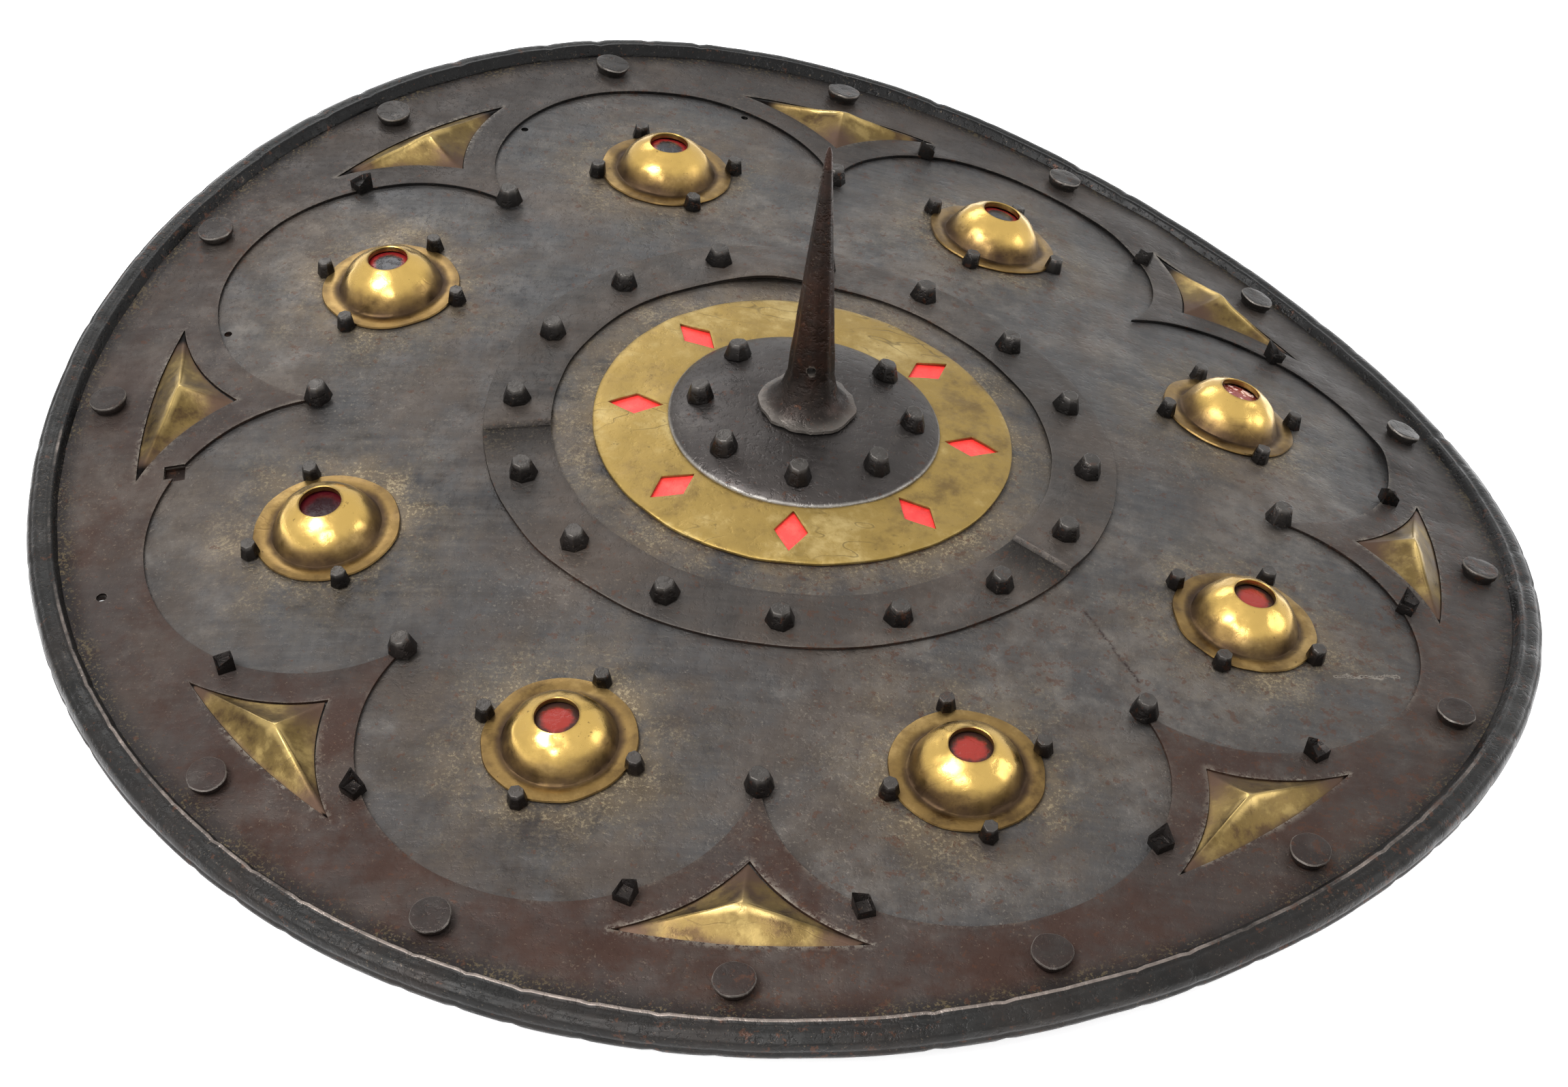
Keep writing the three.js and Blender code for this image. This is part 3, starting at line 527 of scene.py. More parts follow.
@dataclass(frozen=True)
class IronFinish(Surface):
    """Old iron with a patina, rust clouds, specks, rubbed streaks and worn edges."""

    dark: Colour
    middle: Colour
    light: Colour
    rust: Colour = rgb(84, 56, 42)
    rust_amount: float = 0.6
    edge: Colour = rgb(150, 142, 130)
    edge_reach: float = 1.3
    edge_amount: float = 0.5
    speck: Colour = rgb(118, 104, 88)
    speck_amount: float = 0.3
    stain_and_shade: Colour = rgb(116, 100, 76)
    crumb: Colour = rgb(150, 136, 108)
    crumb_amount: float = 0.55
    has_stain_and_shade: bool = False
    stain_and_shade_amount: float = 1.0
    stain_and_shade_evenness: float = 0.0
    speck_strength: float = 0.3
    warm: Colour = rgb(72, 60, 50)
    warm_amount: float = 0.0
    cracks: tuple[tuple[float, float, float, float, float], ...] = ()
    scuff_reach: float = 0.0
    cloud_scale: float = 10.0
    shine: tuple[float, float] = (0.42, 0.62)
    metallic: float = 0.7
    streaks: float = 0.4
    marks: float = 1.0
    bump: float = 0.35

    def draw(self, sheet: NodeSheet, effects: Effects) -> dict[str, Value]:
        """Draws the finish and gives the inputs of its Principled shader."""
        tones = {"Dark": self.dark, "Middle": self.middle, "Light": self.light, "Scale": self.cloud_scale}
        colour = sheet.effect(effects.tones, tones)
        brushed = sheet.effect(effects.brushing, {"Strength": self.streaks})
        colour = sheet.mixed(sheet.times(brushed, 0.5), colour, self.light)
        warmed = sheet.times(sheet.span(sheet.noise(21.0, 6, rough=0.7), 0.42, 0.64), self.warm_amount)
        colour = sheet.mixed(warmed, colour, self.warm)
        near = sheet.effect(effects.near_side)
        patches = sheet.span(sheet.noise(31.0, 6, rough=0.7), 0.4, 0.62)
        rusty = sheet.plus(sheet.times(patches, 0.7), 0.3)
        rusted = sheet.times(sheet.times(rusty, near), self.rust_amount)
        colour = sheet.mixed(rusted, colour, self.rust)
        if self.has_stain_and_shade:
            colour = self.stained(sheet, effects, colour)
        specks = sheet.effect(effects.specks, {"Scale": 850.0, "Amount": self.speck_amount})
        colour = sheet.mixed(sheet.times(specks, self.speck_strength), colour, self.speck)
        deep = sheet.effect(effects.specks, {"Amount": 0.34, "Scale": 260.0, "Cloud scale": 7.0})
        colour = sheet.mixed(sheet.times(deep, 0.5), colour, rgb(70, 42, 27))
        # light edge colour: wear, and a painted highlight on the stud tops, the laps' ends and the rim's
        # ridge
        worn = sheet.effect(effects.wear, {"Reach": self.edge_reach})
        colour = sheet.mixed(sheet.times(worn, self.edge_amount), colour, self.edge)
        if self.scuff_reach:
            colour = self.scuffed(sheet, effects, colour)
        for crack in self.cracks:
            colour = self.cracked(sheet, effects, colour, *crack)
        soft = sheet.span(sheet.noise(70.0, 5), 0.3, 0.7, self.shine[0], self.shine[1])
        rough = sheet.plus(soft, sheet.times(rusted, 0.25))
        height = sheet.effect(effects.forging, {"Marks": self.marks})
        height = sheet.plus(height, sheet.times(brushed, 0.25))
        look = {"Base Color": colour, "Roughness": rough, "Metallic": self.metallic}
        return look | {"Normal": sheet.bump(height, self.bump)}

    def stained(self, sheet: NodeSheet, effects: Effects, colour: Value) -> Value:
        """Adds the stain and the crumbs of polish where the stain-and-shade attribute is high: a polish stain
        on the field, painted shade in the border's cove and on the rim's inner side, and a darker strip
        beyond each lap of the band.
        """
        bloom = sheet.span(sheet.noise(48.0, 6, rough=0.75), 0.34, 0.66, self.stain_and_shade_evenness)
        haze = sheet.times(bloom, sheet.reading("stain_and_shade"))
        colour = sheet.mixed(sheet.times(haze, self.stain_and_shade_amount), colour, self.stain_and_shade)
        crumbs = sheet.effect(effects.specks, {"Scale": 820.0, "Cloud scale": 60.0, "Amount": 0.44})
        return sheet.mixed(sheet.times(crumbs, haze, self.crumb_amount), colour, self.crumb)

    def scuffed(self, sheet: NodeSheet, effects: Effects, colour: Value) -> Value:
        """Adds patches of scuffs beside the edges."""
        beside = sheet.effect(effects.wear, {"Reach": self.scuff_reach, "Ragged": 3.0})
        scuffs = sheet.effect(effects.specks, {"Scale": 620.0, "Cloud scale": 30.0, "Amount": 0.62})
        patchy = sheet.span(sheet.noise(16.0, 3), 0.42, 0.62, 0.0, 0.55)
        return sheet.mixed(sheet.times(beside, scuffs, patchy), colour, self.edge)

    def cracked(self, sheet: NodeSheet, effects: Effects, colour: Value, *crack: float) -> Value:
        """Adds one crack: its start, its run, and how pale its sides are against its middle."""
        x, y, run_x, run_y, pale = crack
        place = {"Start X": x, "Start Y": y, "Run X": run_x, "Run Y": run_y}
        beside = sheet.effect(effects.line, place | {"Width": 0.001})
        colour = sheet.mixed(sheet.times(beside, pale), colour, rgb(170, 162, 150))
        within = sheet.effect(effects.line, place | {"Width": 0.0013 * (1 - pale)})
        return sheet.mixed(within, colour, rgb(36, 24, 22))


@dataclass(frozen=True)
class BrassFinish(Surface):
    """Brass that is bright where use has worn it and where a highlight is painted on it, and brown in its
    grooves.
    """

    dark: Colour = rgb(118, 90, 42)
    middle: Colour = rgb(160, 130, 68)
    light: Colour = rgb(198, 170, 108)
    tarnish: Colour = rgb(50, 38, 34)
    tarnish_amount: float = 0.85
    polish_and_highlight: Colour = rgb(207, 172, 96)
    polish_and_highlight_amount: float = 0.8
    line_amount: float = 0.12
    cloud_scale: float = 38.0
    shine: tuple[float, float] = (0.3, 0.44)
    metallic: float = 1.0
    bump: float = 0.12

    def draw(self, sheet: NodeSheet, effects: Effects) -> dict[str, Value]:
        """Draws the finish and gives the inputs of its Principled shader."""
        tones = {"Dark": self.dark, "Middle": self.middle, "Light": self.light}
        tones |= {"Scale": self.cloud_scale, "Fine scale": 120.0}
        colour = sheet.effect(effects.tones, tones)
        ragged = sheet.times(sheet.minus(sheet.noise(95.0, 5), 0.5), 0.9)
        rubbed_and_lit = sheet.span(sheet.plus(sheet.reading("polish_and_highlight"), ragged), 0.25, 0.95)
        polished_and_lit = sheet.times(rubbed_and_lit, self.polish_and_highlight_amount)
        colour = sheet.mixed(polished_and_lit, colour, self.polish_and_highlight)
        groove = sheet.span(sheet.plus(sheet.reading("groove"), ragged), 0.25, 0.95)
        colour = sheet.mixed(sheet.times(groove, self.tarnish_amount), colour, self.tarnish)
        specks = sheet.effect(effects.specks, {"Scale": 420.0, "Amount": 0.24, "Cloud scale": 40.0})
        colour = sheet.mixed(sheet.times(specks, 0.5), colour, self.tarnish)
        worn = sheet.effect(effects.wear, {"Reach": 0.9})
        colour = sheet.mixed(sheet.times(worn, 0.35), colour, self.tarnish)
        # painted shade in the gaps where the border has sprung up over a relief's corner
        colour = sheet.mixed(sheet.span(sheet.reading("gap"), 0.2, 0.7), colour, rgb(14, 11, 10))
        soft = sheet.span(sheet.noise(120.0, 5), 0.3, 0.7, self.shine[0], self.shine[1])
        rough = sheet.plus(soft, sheet.times(groove, 0.2))
        rough = sheet.minus(rough, sheet.times(polished_and_lit, 0.16))
        forged = {"Scale": 85.0, "Marks": 1.0, "Pits": 0.15, "Grain": 0.08}
        height = sheet.effect(effects.forging, forged)
        lines = sheet.effect(effects.scratches, {"Scale": 40.0, "Width": 0.012})
        colour = sheet.mixed(sheet.times(lines, self.line_amount), colour, self.tarnish)
        height = sheet.minus(height, sheet.times(lines, 0.2))
        look = {"Base Color": colour, "Roughness": rough, "Metallic": self.metallic}
        return look | {"Normal": sheet.bump(height, self.bump)}


@dataclass(frozen=True)
class GlassFinish(Surface):
    """Old red glass over foil, darker in its middle or cracked where it has suffered."""

    middle: Colour
    rim: Colour
    crack: Colour = rgb(220, 190, 180)
    crack_amount: float = 0.0
    roughness: float = 0.28
    gloss: float = 0.35

    def draw(self, sheet: NodeSheet, effects: Effects) -> dict[str, Value]:
        """Draws the finish and gives the inputs of its Principled shader."""
        ragged = sheet.times(sheet.minus(sheet.noise(420.0, 3), 0.5), 0.5)
        outer = sheet.span(sheet.plus(sheet.reading("groove"), ragged), 0.55, 0.85)
        colour = sheet.mixed(outer, self.middle, self.rim)
        bits = sheet.effect(effects.specks, {"Scale": 520.0, "Amount": 0.5, "Cloud scale": 160.0})
        colour = sheet.mixed(sheet.times(bits, self.crack_amount), colour, self.crack)
        height = sheet.effect(effects.forging, {"Scale": 260.0, "Pits": 0.5, "Grain": 0.1})
        look = {"Base Color": colour, "Roughness": self.roughness, "Specular IOR Level": self.gloss}
        return look | {"Normal": sheet.bump(height, 0.3, 0.0008)}


@dataclass(frozen=True)
class RedLayerFinish(Surface):
    """The red layer behind the diamonds: matt, a little cloudy, darker in specks."""

    dark: Colour = rgb(178, 30, 28)
    light: Colour = rgb(226, 48, 42)

    def draw(self, sheet: NodeSheet, effects: Effects) -> dict[str, Value]:
        """Draws the finish and gives the inputs of its Principled shader."""
        tones = {"Dark": self.dark, "Middle": self.light, "Light": rgb(234, 70, 60)}
        tones |= {"Scale": 70.0, "Fine scale": 300.0}
        colour = sheet.effect(effects.tones, tones)
        specks = sheet.effect(effects.specks, {"Amount": 0.3})
        colour = sheet.mixed(sheet.times(specks, 0.6), colour, rgb(110, 26, 28))
        height = sheet.effect(effects.forging, {"Grain": 0.4})
        return {"Base Color": colour, "Roughness": 0.5, "Normal": sheet.bump(height, 0.2, 0.001)}


class Finish(Enum):
    """The finishes of the shield, by what they are used on."""

    FIELD_IRON = IronFinish(
        "field iron",
        rgb(34, 34, 36),
        rgb(60, 60, 61),
        rgb(100, 96, 92),
        # on the field this colour is a grey-brown darkening towards the near and left side
        rust=rgb(50, 42, 37),
        rust_amount=0.6,
        has_stain_and_shade=True,
        stain_and_shade_amount=0.6,
        warm_amount=0.5,
        edge_amount=0.2,
        crumb_amount=0.7,
        speck=rgb(134, 126, 114),
        speck_amount=0.3,
        speck_strength=0.25,
        cracks=((0.0992, -0.074, 0.0177, -0.0285, 0.12), (0.1831, -0.0814, 0.0221, 0.0076, 0.6)),
    )
    BORDER_IRON = IronFinish(
        "border iron",
        rgb(33, 30, 29),
        rgb(49, 45, 43),
        rgb(77, 72, 68),
        rust=rgb(54, 34, 26),
        rust_amount=0.9,
        # painted shade: the near-black colour of the border's cove beside the rim
        stain_and_shade=rgb(19, 16, 16),
        crumb=rgb(128, 112, 78),
        crumb_amount=0.3,
        has_stain_and_shade=True,
        stain_and_shade_amount=0.92,
        stain_and_shade_evenness=0.75,
        warm_amount=0.3,
        edge_reach=0.8,
        edge_amount=0.45,
        speck_amount=0.3,
        scuff_reach=4.0,
    )
    BAND_IRON = IronFinish(
        "band iron",
        rgb(37, 35, 34),
        rgb(55, 52, 50),
        rgb(84, 79, 75),
        rust=rgb(56, 44, 36),
        rust_amount=0.4,
        # the dark colour of the strip just beyond each lap
        stain_and_shade=rgb(24, 20, 17),
        stain_and_shade_evenness=0.8,
        crumb_amount=0.1,
        has_stain_and_shade=True,
        warm_amount=0.4,
        edge_reach=0.8,
        edge_amount=0.25,
        speck_amount=0.28,
    )
    RIM_IRON = IronFinish(
        "rim iron",
        rgb(11, 12, 12),
        rgb(19, 20, 20),
        rgb(38, 38, 37),
        rust=rgb(38, 29, 24),
        rust_amount=0.4,
        # painted shade: the near-black colour of the rim's inner side
        stain_and_shade=rgb(10, 9, 9),
        stain_and_shade_evenness=0.8,
        crumb_amount=0.0,
        has_stain_and_shade=True,
        # the light ridge line of the rim: wear and a painted highlight
        edge=rgb(164, 150, 141),
        edge_reach=1.2,
        edge_amount=0.6,
        speck_amount=0.3,
        shine=(0.28, 0.46),
        marks=0.8,
    )
    DARK_IRON = IronFinish(
        "dark iron",
        rgb(18, 17, 17),
        rgb(29, 27, 26),
        rgb(46, 43, 41),
        rust=rgb(42, 29, 24),
        rust_amount=0.35,
        # painted highlight: the light colour of the stud tops
        edge=rgb(104, 100, 96),
        edge_reach=1.4,
        edge_amount=0.5,
        speck_amount=0.26,
        cloud_scale=26.0,
        shine=(0.3, 0.48),
        metallic=0.85,
    )
    RIVET_IRON = IronFinish(
        "rivet iron",
        rgb(24, 22, 21),
        rgb(37, 34, 32),
        rgb(60, 56, 53),
        rust=rgb(44, 29, 24),
        rust_amount=0.8,
        edge=rgb(168, 160, 152),
        edge_reach=1.0,
        edge_amount=0.5,
        cloud_scale=30.0,
        shine=(0.32, 0.5),
    )
    SPIKE_IRON = IronFinish(
        "spike iron",
        rgb(13, 11, 10),
        rgb(23, 19, 17),
        rgb(46, 38, 34),
        rust=rgb(56, 40, 31),
        rust_amount=0.3,
        edge=rgb(116, 110, 104),
        edge_reach=4.5,
        edge_amount=0.55,
        cloud_scale=34.0,
        warm=rgb(62, 36, 26),
        warm_amount=0.45,
        shine=(0.3, 0.46),
        metallic=0.8,
    )
    # painted shade: near-black iron for the sides of the thin sheets and the walls of the pierced holes
    SHADE_PAINTED_IRON = IronFinish(
        "shade painted iron", rgb(8, 7, 7), rgb(13, 12, 12), rgb(22, 20, 19), edge_amount=0.0, streaks=0.1
    )
    DISC_IRON = IronFinish(
        "disc iron",
        rgb(42, 39, 38),
        rgb(57, 54, 53),
        rgb(74, 70, 67),
        rust=rgb(60, 46, 38),
        rust_amount=0.3,
        edge=rgb(160, 156, 150),
        edge_reach=1.5,
        edge_amount=0.9,
        speck_amount=0.26,
        cloud_scale=20.0,
        shine=(0.32, 0.46),
        metallic=0.85,
    )
    BACK_IRON = IronFinish(
        "back iron",
        rgb(30, 28, 27),
        rgb(42, 39, 37),
        rgb(58, 54, 50),
        rust=rgb(62, 44, 34),
        rust_amount=0.3,
        speck_amount=0.36,
        edge_amount=0.1,
        shine=(0.5, 0.68),
    )
    BRIGHT_BRASS = BrassFinish(
        "bright brass",
        dark=rgb(84, 66, 42),
        middle=rgb(124, 100, 60),
        light=rgb(160, 134, 86),
    )
    RELIEF_BRASS = BrassFinish(
        "relief brass",
        dark=rgb(70, 55, 38),
        middle=rgb(100, 83, 50),
        light=rgb(134, 115, 72),
        tarnish=rgb(80, 63, 54),
        tarnish_amount=0.95,
        # painted highlight colour of the relief's ridges and peak
        polish_and_highlight=rgb(214, 186, 120),
        polish_and_highlight_amount=0.5,
        cloud_scale=60.0,
        shine=(0.34, 0.5),
        bump=0.16,
    )
    DULL_BRASS = BrassFinish(
        "dull brass",
        dark=rgb(104, 84, 48),
        middle=rgb(138, 115, 62),
        light=rgb(170, 150, 100),
        tarnish=rgb(60, 50, 34),
        tarnish_amount=0.7,
        line_amount=0.5,
        cloud_scale=24.0,
        shine=(0.38, 0.56),
        metallic=0.85,
        bump=0.3,
    )
    RED_LAYER = RedLayerFinish("red layer")
    # the red glass is dark at its edge: painted shade under the lip of the boss's hole
    RED_GLASS = GlassFinish("red glass", rgb(122, 38, 31), rgb(50, 33, 29), gloss=0.2)
    DARK_GLASS = GlassFinish("dark glass", rgb(22, 21, 27), rgb(120, 28, 30))
    MAROON_GLASS = GlassFinish("maroon glass", rgb(30, 8, 13), rgb(58, 12, 18), gloss=0.12)
    BROKEN_GLASS = GlassFinish("broken glass", rgb(112, 44, 40), rgb(92, 32, 30), crack_amount=0.8)


class Palette:
    """Builds each finish's material when it is first asked for."""

    def __init__(self) -> None:
        """Builds the shared effects."""
        self.effects = Effects()
        self.made: dict[Finish, bpy.types.Material] = {}

    def materials(self, *finishes: Finish) -> list[bpy.types.Material]:
        """Gives the materials of some finishes."""
        for finish in finishes:
            if finish not in self.made:
                self.made[finish] = finish.value.build(self.effects)
        return [self.made[finish] for finish in finishes]


# Metalwork with bmesh


def spun(profile: Sequence[Point], steps: int, closed: bool = False) -> bmesh.types.BMesh:
    """Turns a profile about the Z axis.

    Args:
        profile: radius and height pairs.
        steps: how many steps the full turn has.
        closed: whether the profile's last point joins its first.

    Returns:
        The turned shape.
    """
    bm = bmesh.new()
    verts = [bm.verts.new((radius, 0, height)) for radius, height in profile]
    ends = verts[1:] + verts[:1] if closed else verts[1:]
    edges = [bm.edges.new(pair) for pair in zip(verts, ends)]
    centre = (0, 0, 0)
    turned = verts + edges
    bmesh.ops.spin(bm, geom=turned, cent=centre, axis=(0, 0, 1), angle=TURN, steps=steps, use_merge=True)
    bmesh.ops.remove_doubles(bm, verts=bm.verts[:], dist=1e-4)
    bmesh.ops.recalc_face_normals(bm, faces=bm.faces[:])
    return bm


def add_grid(bm: bmesh.types.BMesh, columns: int, rows: int, place: Place) -> None:
    """Adds a grid whose points go where place puts their shares along and across.

    Args:
        bm: the mesh that takes the grid.
        columns: faces along.
        rows: faces across.
        place: gives a point's place from its two shares.
    """
    made = bmesh.ops.create_grid(bm, x_segments=columns, y_segments=rows, size=0.5)["verts"]
    for vert in made:
        vert.co = place(vert.co.x + 0.5, vert.co.y + 0.5)


def add_piece(bm: bmesh.types.BMesh, piece: bmesh.types.BMesh, material: int = 0) -> None:
    """Joins one mesh into another and frees it.

    Args:
        bm: the mesh that grows.
        piece: the mesh that is joined.
        material: the material number of the joined faces.
    """
    for face in piece.faces:
        face.material_index = material
    mesh = bpy.data.meshes.new("joined")
    piece.to_mesh(mesh)
    piece.free()
    bm.from_mesh(mesh)
    bpy.data.meshes.remove(mesh)


def attribute(bm: bmesh.types.BMesh, name: str) -> bmesh.types.BMLayerItem:
    """Gives the attribute that a material reads, which is made on first use."""
    return bm.verts.layers.float.get(name) or bm.verts.layers.float.new(name)


def level(bm: bmesh.types.BMesh) -> None:
    """Moves a mesh up or down until its lowest point is at 0."""
    lowest = min(vert.co.z for vert in bm.verts)
    bmesh.ops.translate(bm, vec=(0, 0, -lowest), verts=bm.verts[:])


def face_up(bm: bmesh.types.BMesh) -> None:
    """Turns the faces of a sheet upwards."""
    bmesh.ops.recalc_face_normals(bm, faces=bm.faces[:])
    if sum(face.normal.z for face in bm.faces) < 0:
        bmesh.ops.reverse_faces(bm, faces=bm.faces[:])


def soften(bm: bmesh.types.BMesh, sharp: Sequence[bmesh.types.BMEdge], offset: float) -> None:
    """Rounds some edges a little.

    Args:
        bm: the mesh.
        sharp: the edges.
        offset: how much is taken off each side of an edge.
    """
    look = {"segments": 2, "profile": 0.5, "affect": "EDGES", "material": -1, "clamp_overlap": True}
    bmesh.ops.bevel(bm, geom=sharp, offset=offset, **look)


def repeat_bays(bm: bmesh.types.BMesh, gap: float) -> None:
    """Mirrors half a bay and turns it into all the bays.

    Args:
        bm: half a bay of a sheet, about a cusp line or a diamond along +X.
        gap: the distance within which the copies' points join.
    """
    bmesh.ops.mirror(bm, geom=bm.verts[:] + bm.edges[:] + bm.faces[:], axis="Y", merge_dist=gap)
    half = bm.verts[:] + bm.edges[:] + bm.faces[:]
    for bay in range(1, PLAN.bays):
        copied = bmesh.ops.duplicate(bm, geom=half)["geom"]
        verts = [part for part in copied if isinstance(part, bmesh.types.BMVert)]
        turn = Matrix.Rotation(2 * PLAN.half_bay * bay, 3, "Z")
        bmesh.ops.rotate(bm, cent=(0, 0, 0), matrix=turn, verts=verts)


def measure_edges(bm: bmesh.types.BMesh) -> None:
    """Writes each point's distance to the nearest open edge into the attribute that edge wear reads."""
    layer = attribute(bm, "edge")
    open_verts = [vert for vert in bm.verts if vert.is_boundary]
    tree = KDTree(max(1, len(open_verts)))
    for index, vert in enumerate(open_verts):
        tree.insert(vert.co, index)
    tree.balance()
    for vert in bm.verts:
        vert[layer] = min(FAR, tree.find(vert.co)[2]) if open_verts else FAR


def thicken(bm: bmesh.types.BMesh, thickness: float, rounding: float) -> None:
    """Gives a flat sheet its thickness, rounds its edges a little and levels it.

    Args:
        bm: the sheet, its faces pointing up.
        thickness: in millimetres.
        rounding: how much is taken off each edge.
    """
    bmesh.ops.solidify(bm, geom=bm.faces[:], thickness=-thickness)
    limit = math.radians(50)
    sharp = [edge for edge in bm.edges if edge.is_manifold and edge.calc_face_angle(0.0) > limit]
    soften(bm, sharp, rounding)
    level(bm)


def darken_sides(bm: bmesh.types.BMesh, material: int) -> None:
    """Gives the sides of a thin sheet another material, a near-black iron that paints the shade in the gaps
    along its edges.

    Args:
        bm: the sheet, still flat.
        material: the material number of the sides.
    """
    for face in bm.faces:
        if abs(face.normal.z) < 0.3:
            face.material_index = material


def lay(bm: bmesh.types.BMesh, lift: float, rise: Callable[[float, float], float] | None = None) -> None:
    """Lays a flat mesh on the bent plate, straight up or down.

    Args:
        bm: the mesh, flat on z = 0.
        lift: height above the plate.
        rise: extra height by place.
    """
    for vert in bm.verts:
        x, y, above = vert.co
        extra = rise(x, y) if rise else 0.0
        vert.co.z = PLATE.height(x, y) + lift + above + extra


def seat(
    bm: bmesh.types.BMesh, radius: float, angle: float, lift: float, ground: Callable | None = None
) -> None:
    """Sets a small piece on the shield: its X points outwards and it stands square to the plate.

    Args:
        bm: the piece, standing at the origin.
        radius: distance of its place from the shield's axis.
        angle: direction of its place.
        lift: height above the plate.
        ground: gives the height that it stands on, in place of the plate.
    """
    x, y = radius * math.cos(angle), radius * math.sin(angle)
    normal = PLATE.normal(x, y)
    outward = Vector((math.cos(angle), math.sin(angle), 0))
    outward = (outward - normal * outward.dot(normal)).normalized()
    sideways = normal.cross(outward)
    surface = ground or PLATE.height
    for vert in bm.verts:
        point = Vector((x, y, 0)) + outward * vert.co.x + sideways * vert.co.y
        point.z = surface(point.x, point.y) + lift
        vert.co = point + normal * vert.co.z


def roughen(bm: bmesh.types.BMesh, size: float, scale: float, seed: float) -> None:
    """Moves the points a little, as hand work does, with a fixed pattern of noise.

    Args:
        bm: the mesh.
        size: how far a point may move.
        scale: the noise's wave length.
        seed: where in the noise the piece lies.
    """
    for vert in bm.verts:
        vert.co += size * noise.noise_vector(vert.co / scale + Vector((seed, 2 * seed, 5.5)))


def finish_piece(
    name: str,
    bm: bmesh.types.BMesh,
    materials: Sequence[bpy.types.Material],
    node: str,
    smooth: float = 40.0,
) -> bpy.types.Object:
    """Makes a finished mesh an object that rides on the shield and stands for its CAD node.

    Args:
        name: the object's name.
        bm: the mesh, in millimetres; it is freed.
        materials: its materials, in the order of its material numbers.
        node: the CAD node that it replaces.
        smooth: the angle above which an edge stays sharp.

    Returns:
        The object.
    """
    for vert in bm.verts:
        vert.co.z = max(vert.co.z, 0.0)
    bmesh.ops.scale(bm, vec=(MM, MM, MM), verts=bm.verts[:])
    mesh = bpy.data.meshes.new(name)
    bm.to_mesh(mesh)
    bm.free()
    for material in materials:
        mesh.materials.append(material)
    mesh.shade_smooth()
    mesh.set_sharp_from_angle(angle=math.radians(smooth))
    piece = bpy.data.objects.new(name, mesh)
    bpy.context.scene.collection.objects.link(piece)
    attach(piece, "root")
    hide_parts(node)
    LOG.info("%s: %d faces", name, len(mesh.polygons))
    return piece


def pierce(piece: bpy.types.Object, cutter: bmesh.types.BMesh) -> None:
    """Cuts a small hole into a finished piece; the hole's walls take the piece's last material.

    Args:
        piece: the object.
        cutter: the shape of the hole, in millimetres; it is freed.
    """
    bmesh.ops.scale(cutter, vec=(MM, MM, MM), verts=cutter.verts[:])
    for face in cutter.faces:
        face.material_index = len(piece.data.materials) - 1
    shape = bpy.data.meshes.new("cutter")
    cutter.to_mesh(shape)
    for material in piece.data.materials:
        shape.materials.append(material)
    cutter.free()
    tool = bpy.data.objects.new("cutter", shape)
    bpy.context.scene.collection.objects.link(tool)
    change = piece.modifiers.new("hole", "BOOLEAN")
    change.operation = "DIFFERENCE"
    change.solver = "EXACT"
    change.object = tool
    seen = piece.evaluated_get(bpy.context.evaluated_depsgraph_get())
    holed = bpy.data.meshes.new_from_object(seen)
    piece.modifiers.clear()
    old = piece.data
    piece.data = holed
    bpy.data.meshes.remove(old)
    holed.name = piece.name
    bpy.data.objects.remove(tool)
    bpy.data.meshes.remove(shape)


def upright_rod(radius: float, x: float, y: float, low: float, high: float) -> bmesh.types.BMesh:
    """Makes an upright round rod, to cut a hole with."""
    bm = bmesh.new()
    at = Matrix.Translation((x, y, (low + high) / 2))
    options = {"cap_ends": True, "segments": 20, "radius1": radius, "radius2": radius}
    bmesh.ops.create_cone(bm, depth=high - low, matrix=at, **options)
    return bm


def stud(radius: float, height: float, top_share: float, sides: int, seed: float) -> bmesh.types.BMesh:
    """Makes a blunt stud: a many-sided cone with a flat top and softened edges.

    Args:
        radius: at its foot.
        height: of the stud.
        top_share: the top's radius as a share of the foot's.
        sides: how many sides it has.
        seed: makes each stud a little different.

    Returns:
        The stud, standing on z = 0.
    """
    bm = bmesh.new()
    at = Matrix.Translation((0, 0, height / 2)) @ Matrix.Rotation(seed * 1.7, 4, "Z")
    options = {"cap_ends": True, "cap_tris": False, "segments": sides, "depth": height}
    bmesh.ops.create_cone(bm, radius1=radius, radius2=radius * top_share, matrix=at, **options)
    top = max(bm.faces, key=lambda face: face.calc_center_median().z)
    bmesh.ops.inset_region(bm, faces=[top], thickness=radius * 0.08, depth=0.0)
    limit = math.radians(25)
    soften(bm, [edge for edge in bm.edges if edge.calc_face_angle(0.0) > limit], radius * 0.09)
    roughen(bm, radius * 0.1, radius * 0.9, seed * 3.3)
    level(bm)
    mark_stud(bm, height)
    return bm


def mark_stud(bm: bmesh.types.BMesh, height: float) -> None:
    """Marks the top and the upper edges of a stud for the light edge colour, a painted highlight where the
    light falls on them.
    """
    layer = attribute(bm, "edge")
    for vert in bm.verts:
        vert[layer] = 0.0 if vert.co.z > height * 0.86 else NOT_WORN


# The sheets


